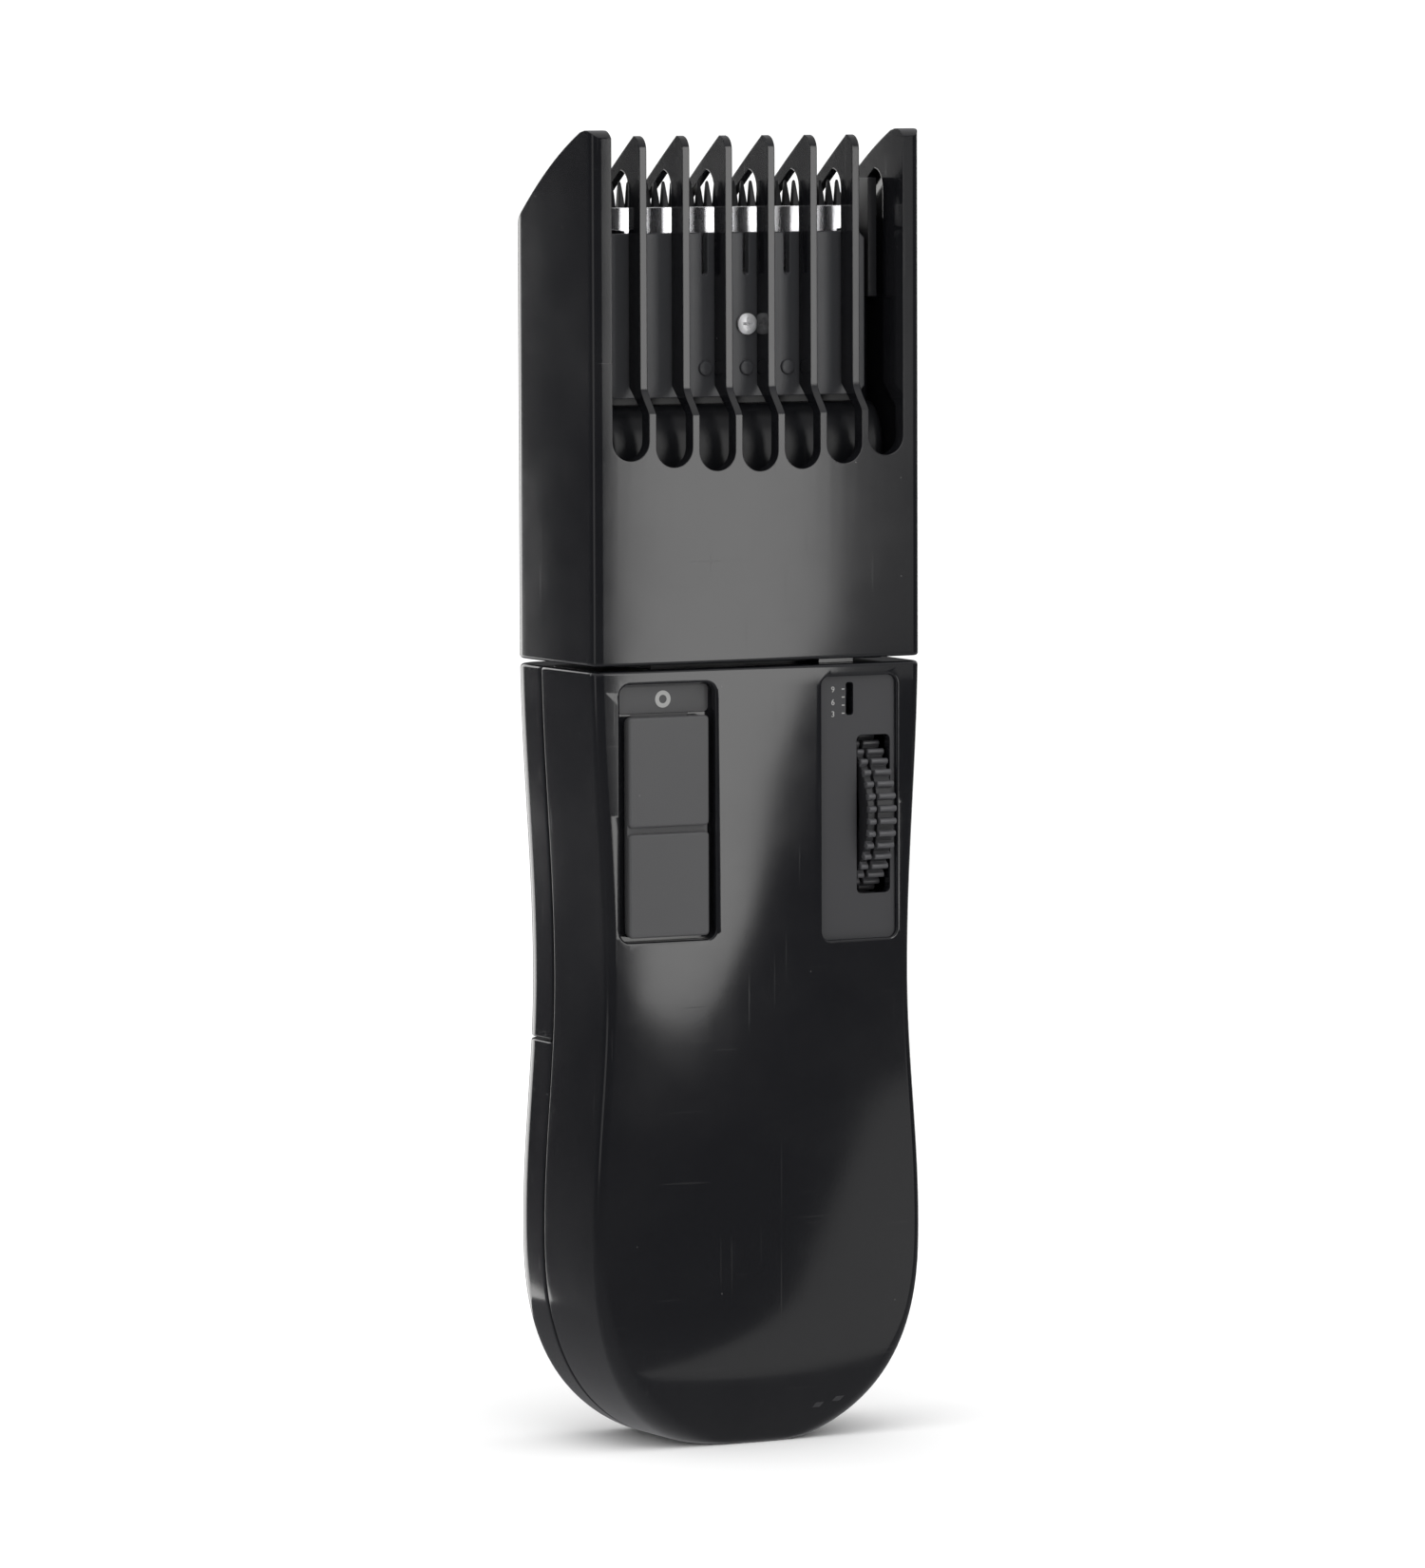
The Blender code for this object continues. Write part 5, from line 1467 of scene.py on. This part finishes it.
def make_all_materials():
    colours = bpy.context.scene.groomer_colours
    moulded_group()
    metal_group()
    wound_group()
    make_plastic("shell_plastic", colours.gloss, 0.08, 0.05, 3800.0, 0.3, 0.5, 0.5, 0.14)
    make_plastic("comb_plastic", colours.gloss, 0.11, 0.05, 3800.0, 0.35, 0.5, 0.5, 0.14)
    make_plastic("head_plastic", colours.gloss, 0.3, 0.06, 3800.0, 0.3, 0.4, 0.6, 0.15, specular=0.22)
    make_plastic("panel_plastic", colours.panel, 0.55, 0.06, 5200.0, 1.0, 0.2, 0.5, 0.1, 0.35)
    make_plastic("inner_plastic", colours.satin, 0.4, 0.08, 4200.0, 0.8, 0.3, 0.5, 0.15, 0.3)
    make_plastic("wheel_plastic", colours.wheel, 0.36, 0.1, 5200.0, 0.8, 0.4, 0.8, 0.08, 0.3)
    make_plastic("plate_plastic", colours.head, 0.4, 0.08, 4600.0, 0.8, 0.3, 0.6, 0.1, 0.3)
    make_plastic("grey_moulding", colours.head, 0.4, 0.08, 4600.0, 0.8, 0.3, 0.6, 0.1, 0.3)
    make_plastic("pad_plastic", colours.pad, 0.5, 0.08, 5600.0, 1.0, 0.2, 0.5, 0.1, 0.5)
    make_plastic("pale_nylon", (0.72, 0.7, 0.66), 0.45, 0.06, 3000.0, 0.6, 0.2, 0.1, 0.1, 0.3)
    make_plastic("printed_ink", colours.ink, 0.5, 0.05, 6000.0, 0.8, 0.1, 0.0, 0.0, 0.3)
    make_plastic("cell_sleeve", (0.03, 0.07, 0.05), 0.28, 0.08, 2500.0, 0.3, 0.4, 0.4, 0.15)
    make_plastic("red_sleeve", (0.42, 0.02, 0.018), 0.42, 0.08, 3000.0, 0.5, 0.1, 0.2, 0.0)
    make_plastic("blue_sleeve", (0.025, 0.05, 0.3), 0.42, 0.08, 3000.0, 0.5, 0.1, 0.2, 0.0)
    make_metal("ground_steel", (0.66, 0.66, 0.68), 0.2, 0.8, 0.25, 0.05)
    make_metal("bar_steel", (0.86, 0.86, 0.87), 0.34, 0.8, 0.12, 0.05, metallic=0.55)
    # Painted shade: a near-black copy of the blade steel for the fixed blade's teeth and the whole moving
    # blade.
    make_metal("shaded_blade_steel", (0.02, 0.02, 0.022), 0.45, 0.8, 0.25, 0.02, metallic=0.3)
    make_metal("bright_nickel", (0.68, 0.66, 0.62), 0.2, 0.4, 0.3, 0.06)
    make_metal("stamped_brass", (0.68, 0.5, 0.22), 0.26, 0.5, 0.5, 0.06)
    copper = {"Colour": (0.62, 0.28, 0.12), "Turns": 15000.0}
    finish_material("copper_winding", "wound_wire", copper, 1.0, 0.6, 0.0, 0.1)


# CAD nodes that keep their own shape, and the material each gets.
KEPT_NODES = {
    "blade_holder": "inner_plastic",
    "blade_spring": "bright_nickel",
    "motor_can": "bright_nickel",
    "motor_end_cap": "pale_nylon",
    "motor_rotor": "copper_winding",
    "motor_shaft": "ground_steel",
    "eccentric_cam": "pale_nylon",
    "drive_rocker": "pale_nylon",
    "rocker_pin": "ground_steel",
    "motor_bracket": "bright_nickel",
    "comb_carriage": "inner_plastic",
    "length_pinion": "pale_nylon",
    "wheel_axle": "ground_steel",
    "wheel_bracket": "inner_plastic",
    "length_pointer": "printed_ink",
    "switch_contact": "stamped_brass",
    "switch_board": "inner_plastic",
    "battery_cell_left": "cell_sleeve",
    "battery_cell_right": "cell_sleeve",
    "contact_bridge": "bright_nickel",
    "contact_plus": "bright_nickel",
    "contact_minus": "bright_nickel",
    "battery_spring_left": "bright_nickel",
    "battery_spring_right": "bright_nickel",
    "battery_bulkhead": "inner_plastic",
    "lead_red": "red_sleeve",
    "lead_blue": "blue_sleeve",
}


# ---------------------------------------------------------------- stage


def camera_turn(azimuth, elevation, roll):
    """A camera's rotation that looks at the groomer from an azimuth and an elevation."""
    around = Matrix.Rotation(azimuth, 4, "Z")
    tilt = Matrix.Rotation(math.pi / 2 - elevation, 4, "X")
    return around @ tilt @ Matrix.Rotation(roll, 4, "Z")


def make_camera():
    stage = bpy.context.scene.groomer_stage
    data = bpy.data.cameras.new("camera")
    data.lens = stage.lens
    data.sensor_width = 36.0
    data.sensor_fit = "AUTO"
    data.clip_start = 0.05
    data.clip_end = 50.0
    camera = helper_object("camera", data)
    turn = camera_turn(stage.azimuth, stage.elevation, stage.roll)
    away = turn @ Vector((-stage.aside, 0.0, stage.distance))
    camera.matrix_world = Matrix.Translation(Vector((0.0, 0.0, stage.aim_height)) + away) @ turn
    bpy.context.scene.camera = camera


def make_world():
    """White light for what the camera and matt surfaces see, and a dim room for reflections."""
    world = bpy.data.worlds.new("studio")
    bpy.context.scene.world = world
    world.use_nodes = True
    tree = world.node_tree
    tree.nodes.clear()
    out = tree.nodes.new("ShaderNodeOutputWorld")
    bright = tree.nodes.new("ShaderNodeBackground")
    bright.inputs["Color"].default_value = (1.0, 1.0, 1.0, 1.0)
    bright.inputs["Strength"].default_value = bpy.context.scene.groomer_stage.sky
    room = tree.nodes.new("ShaderNodeBackground")
    direction = tree.nodes.new("ShaderNodeTexCoord")
    apart = tree.nodes.new("ShaderNodeSeparateXYZ")
    tree.links.new(direction.outputs["Generated"], apart.inputs["Vector"])
    ramp = tree.nodes.new("ShaderNodeValToRGB")
    shades = ((0.0, 0.45), (0.38, 0.22), (0.47, 0.07), (0.56, 0.06), (0.72, 0.45), (1.0, 0.9))
    while len(ramp.color_ramp.elements) < len(shades):
        ramp.color_ramp.elements.new(0.5)
    for element, (place, shade) in zip(ramp.color_ramp.elements, shades):
        element.position = place
        element.color = (shade, shade, shade * 1.03, 1.0)
    height = math_node(tree, "MULTIPLY_ADD", apart.outputs["Z"], 0.5)
    height.node.inputs[2].default_value = 0.5
    tree.links.new(height, ramp.inputs["Fac"])
    tree.links.new(ramp.outputs["Color"], room.inputs["Color"])
    path = tree.nodes.new("ShaderNodeLightPath")
    choose = tree.nodes.new("ShaderNodeMixShader")
    tree.links.new(path.outputs["Is Glossy Ray"], choose.inputs["Fac"])
    tree.links.new(bright.outputs["Background"], choose.inputs[1])
    tree.links.new(room.outputs["Background"], choose.inputs[2])
    tree.links.new(choose.outputs["Shader"], out.inputs["Surface"])


def light_material(name, brightness):
    material = bpy.data.materials.new(name)
    material.use_nodes = True
    tree = material.node_tree
    tree.nodes.clear()
    out = tree.nodes.new("ShaderNodeOutputMaterial")
    glow = tree.nodes.new("ShaderNodeEmission")
    glow.inputs["Strength"].default_value = brightness
    glow.inputs["Color"].default_value = (1.0, 0.995, 0.985, 1.0)
    tree.links.new(glow.outputs["Emission"], out.inputs["Surface"])
    return material


def make_card(name, corners, brightness):
    """A softbox that shows only in reflections; corners in millimetres."""
    mesh = bpy.data.meshes.new(name)
    mesh.from_pydata([Vector(c) * MM for c in corners], [], [tuple(range(len(corners)))])
    mesh.materials.append(light_material(name, brightness))
    card = helper_object(name, mesh)
    card.visible_camera = False
    card.visible_diffuse = False
    card.visible_transmission = False
    card.visible_shadow = False


def upright(start, end, low, high):
    """Corners of an upright card that stands between two points of the floor."""
    return [(*start, low), (*end, low), (*end, high), (*start, high)]


def make_cards():
    stage = bpy.context.scene.groomer_stage
    plane = -211.0
    # The front card: its right edge leans, so the light ends along a diagonal on the front face.
    key = [(57, 260), (62, 60), (64, 31), (70, 28), (78, 26.5), (84, 27.5), (90, 31), (95, 36)]
    key += [(99, 40), (102, 46), (104.5, 52), (107, 60), (112, 66), (118, 74), (126, 80), (126, 260)]
    make_card("key_card", [(x, plane, z) for x, z in key], stage.key)
    fill = [(60, -60), (100, -26), (115, -13), (125, -2), (137, 12), (146, 16), (240, 22), (240, -60)]
    make_card("fill_card", [(x, plane, z) for x, z in fill], stage.fill)
    strip = [(127, 74), (127, 160), (200, 160), (200, 74)]
    make_card("comb_card", [(x, plane, z) for x, z in strip], stage.fill * 0.75)
    # Rear cards: a bright line along each rear corner.
    make_card("rear_card_left", upright((-330, 700), (60, 900), -200, 500), stage.rim)
    make_card("rear_card_right", upright((700, 300), (700, 520), -100, 420), stage.rim)
    make_card("side_card_left", upright((-700, -60), (-700, -330), 0, 420), stage.fill)
    top = [(-300, -260, 620), (300, -260, 620), (300, 340, 620), (-300, 340, 620)]
    make_card("top_card", top, stage.fill)


def make_top_light():
    data = bpy.data.lights.new("overhead_light", "AREA")
    data.shape = "DISK"
    data.size = 0.9
    data.energy = bpy.context.scene.groomer_stage.top
    light = helper_object("overhead_light", data)
    light.location = (-0.25, -0.35, 1.1)
    light.rotation_euler = Vector((-0.25, -0.35, 1.02)).to_track_quat("Z", "Y").to_euler()
    light.visible_glossy = False


def make_floor():
    colours = bpy.context.scene.groomer_colours
    tree, source, out = group_tree(
        "matt_floor",
        [("Vector", "Vector", None), ("Colour", "Color", (0.8, 0.8, 0.8, 1.0))],
        SURFACE_OUTPUTS,
    )
    tone = noise(tree, source.outputs["Vector"], 9.0, 3.0, 0.5)
    shade = remap(tree, tone, 0.3, 0.7, 0.0, 0.06)
    toned = mixed_colour(tree, shade, source.outputs["Colour"], (0.8, 0.8, 0.8), "MULTIPLY")
    rough = remap(tree, tone, 0.3, 0.7, 0.55, 0.65)
    height = noise(tree, source.outputs["Vector"], 1800.0, 2.0, 0.6)
    link_surface(tree, out, toned, rough, height)
    values = {"Colour": tuple(colours.floor)}
    finish_material("floor_paper", "matt_floor", values, 0.0, 0.05, 0.0, 0.02, 0.0)
    size, drop = 6.0, -0.00004
    mesh = bpy.data.meshes.new("floor")
    corners = [(-size, -size, drop), (size, -size, drop), (size, size, drop), (-size, size, drop)]
    mesh.from_pydata(corners, [], [(0, 1, 2, 3)])
    mesh.materials.append(bpy.data.materials["floor_paper"])
    floor = helper_object("floor", mesh)
    floor.visible_glossy = False


# ---------------------------------------------------------------- operators and panel


class GROOMER_OT_materials(bpy.types.Operator):
    """Makes every plastic and metal finish"""

    bl_idname = "groomer.make_materials"
    bl_label = "Make materials"

    def execute(self, context):
        make_all_materials()
        return {"FINISHED"}


class GROOMER_OT_handle(bpy.types.Operator):
    """Builds the front shell, the rear shell and the battery cover"""

    bl_idname = "groomer.make_handle"
    bl_label = "Make handle"

    def execute(self, context):
        screw_x = screw_centre("shell_screw_right")[0]
        shell = ["shell_plastic", "pad_plastic", "panel_plastic"]
        add_piece("front_shell_body", make_front_shell(screw_x), shell, "handle", "front_shell")
        add_piece("rear_shell_body", make_rear_shell(screw_x), ["shell_plastic"], "handle", "rear_shell")
        add_piece("battery_cover_body", make_battery_cover(), ["shell_plastic"], "cover", "battery_cover")
        return {"FINISHED"}


class GROOMER_OT_comb(bpy.types.Operator):
    """Builds the height-adjustable guide comb"""

    bl_idname = "groomer.make_comb"
    bl_label = "Make guide comb"

    def execute(self, context):
        add_piece("guide_comb_body", make_guide_comb(), ["comb_plastic"], "comb", "guide_comb")
        return {"FINISHED"}


class GROOMER_OT_head(bpy.types.Operator):
    """Builds the neck and head housing and the plate under the blades"""

    bl_idname = "groomer.make_head"
    bl_label = "Make head"

    def execute(self, context):
        add_piece("head_housing_body", make_head_housing(), ["head_plastic"], "handle", "head_housing")
        add_piece("head_plate_body", make_head_plate(), ["plate_plastic"], "handle", "head_plate")
        return {"FINISHED"}


class GROOMER_OT_blades(bpy.types.Operator):
    """Builds the fixed blade and the moving blade"""

    bl_idname = "groomer.make_blades"
    bl_label = "Make blades"

    def execute(self, context):
        # The second finish paints the fixed blade's teeth and the moving blade near-black as painted
        # shade.
        steel = ["bar_steel", "shaded_blade_steel", "ground_steel"]
        add_piece("fixed_blade_plate", make_fixed_blade(), steel, "handle", "fixed_blade")
        add_piece("moving_blade_plate", make_moving_blade(), ["shaded_blade_steel"], "blade", "moving_blade")
        return {"FINISHED"}


class GROOMER_OT_controls(bpy.types.Operator):
    """Builds the slide switch, the length wheel and the printed marks"""

    bl_idname = "groomer.make_controls"
    bl_label = "Make controls"

    def execute(self, context):
        add_piece("switch_slider_pad", make_switch_slider(), ["pad_plastic"], "switch", "switch_slider")
        # The drum between the ribs gets the darker second finish, painted shade.
        ribbed = ["wheel_plastic", "inner_plastic"]
        add_piece("length_wheel_drum", make_length_wheel(), ribbed, "wheel", "length_wheel")
        add_piece("printed_scale", make_printed_marks(), ["printed_ink"], "handle")
        return {"FINISHED"}


class GROOMER_OT_screws(bpy.types.Operator):
    """Builds the cross-head screws"""

    bl_idname = "groomer.make_screws"
    bl_label = "Make screws"

    def execute(self, context):
        names = ("blade_screw_left", "blade_screw_right")
        add_piece("blade_screws", placed_screws(*names, True), ["ground_steel"], "handle", *names)
        names = ("shell_screw_left", "shell_screw_right")
        add_piece("shell_screws", placed_screws(*names, False), ["ground_steel"], "handle", *names)
        name = "head_plate_screw"
        add_piece("plate_screw", placed_screws(name, None, True), ["bar_steel"], "handle", name)
        return {"FINISHED"}


class GROOMER_OT_inner_parts(bpy.types.Operator):
    """Gives the drive, batteries and wiring their finishes"""

    bl_idname = "groomer.finish_inner_parts"
    bl_label = "Finish inner parts"

    def execute(self, context):
        for node, material in KEPT_NODES.items():
            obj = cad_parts[node]
            for place in obj.material_slots:
                place.link = "OBJECT"
                place.material = bpy.data.materials[material]
        return {"FINISHED"}


class GROOMER_OT_stage(bpy.types.Operator):
    """Sets the floor, the camera and the studio light"""

    bl_idname = "groomer.make_stage"
    bl_label = "Make stage"

    def execute(self, context):
        context.scene.view_settings.view_transform = "Standard"
        make_camera()
        make_world()
        make_cards()
        make_top_light()
        make_floor()
        return {"FINISHED"}


OPERATORS = (
    GROOMER_OT_materials,
    GROOMER_OT_handle,
    GROOMER_OT_comb,
    GROOMER_OT_head,
    GROOMER_OT_blades,
    GROOMER_OT_controls,
    GROOMER_OT_screws,
    GROOMER_OT_inner_parts,
    GROOMER_OT_stage,
)


class GROOMER_PT_panel(bpy.types.Panel):
    """Settings of the groomer and one button per piece"""

    bl_idname = "GROOMER_PT_panel"
    bl_label = "Body groomer"
    bl_space_type = "VIEW_3D"
    bl_region_type = "UI"
    bl_category = "Groomer"

    def draw(self, context):
        for group in SETTING_GROUPS:
            box = self.layout.box()
            box.label(text=group.replace("groomer_", "").capitalize())
            settings = getattr(context.scene, group)
            for name in SETTING_GROUPS[group].__annotations__:
                box.prop(settings, name)
        for operator in OPERATORS:
            self.layout.operator(operator.bl_idname)


def register():
    for name, settings in SETTING_GROUPS.items():
        bpy.utils.register_class(settings)
        setattr(bpy.types.Scene, name, bpy.props.PointerProperty(type=settings))
    for operator in OPERATORS:
        bpy.utils.register_class(operator)
    bpy.utils.register_class(GROOMER_PT_panel)


def unregister():
    bpy.utils.unregister_class(GROOMER_PT_panel)
    for operator in reversed(OPERATORS):
        bpy.utils.unregister_class(operator)
    for name, settings in SETTING_GROUPS.items():
        delattr(bpy.types.Scene, name)
        bpy.utils.unregister_class(settings)


def main():
    register()
    bpy.ops.groomer.make_materials()
    bpy.ops.groomer.make_handle()
    bpy.ops.groomer.make_comb()
    bpy.ops.groomer.make_head()
    bpy.ops.groomer.make_blades()
    bpy.ops.groomer.make_controls()
    bpy.ops.groomer.make_screws()
    bpy.ops.groomer.finish_inner_parts()
    bpy.ops.groomer.make_stage()


if __name__ == "__main__":
    main()
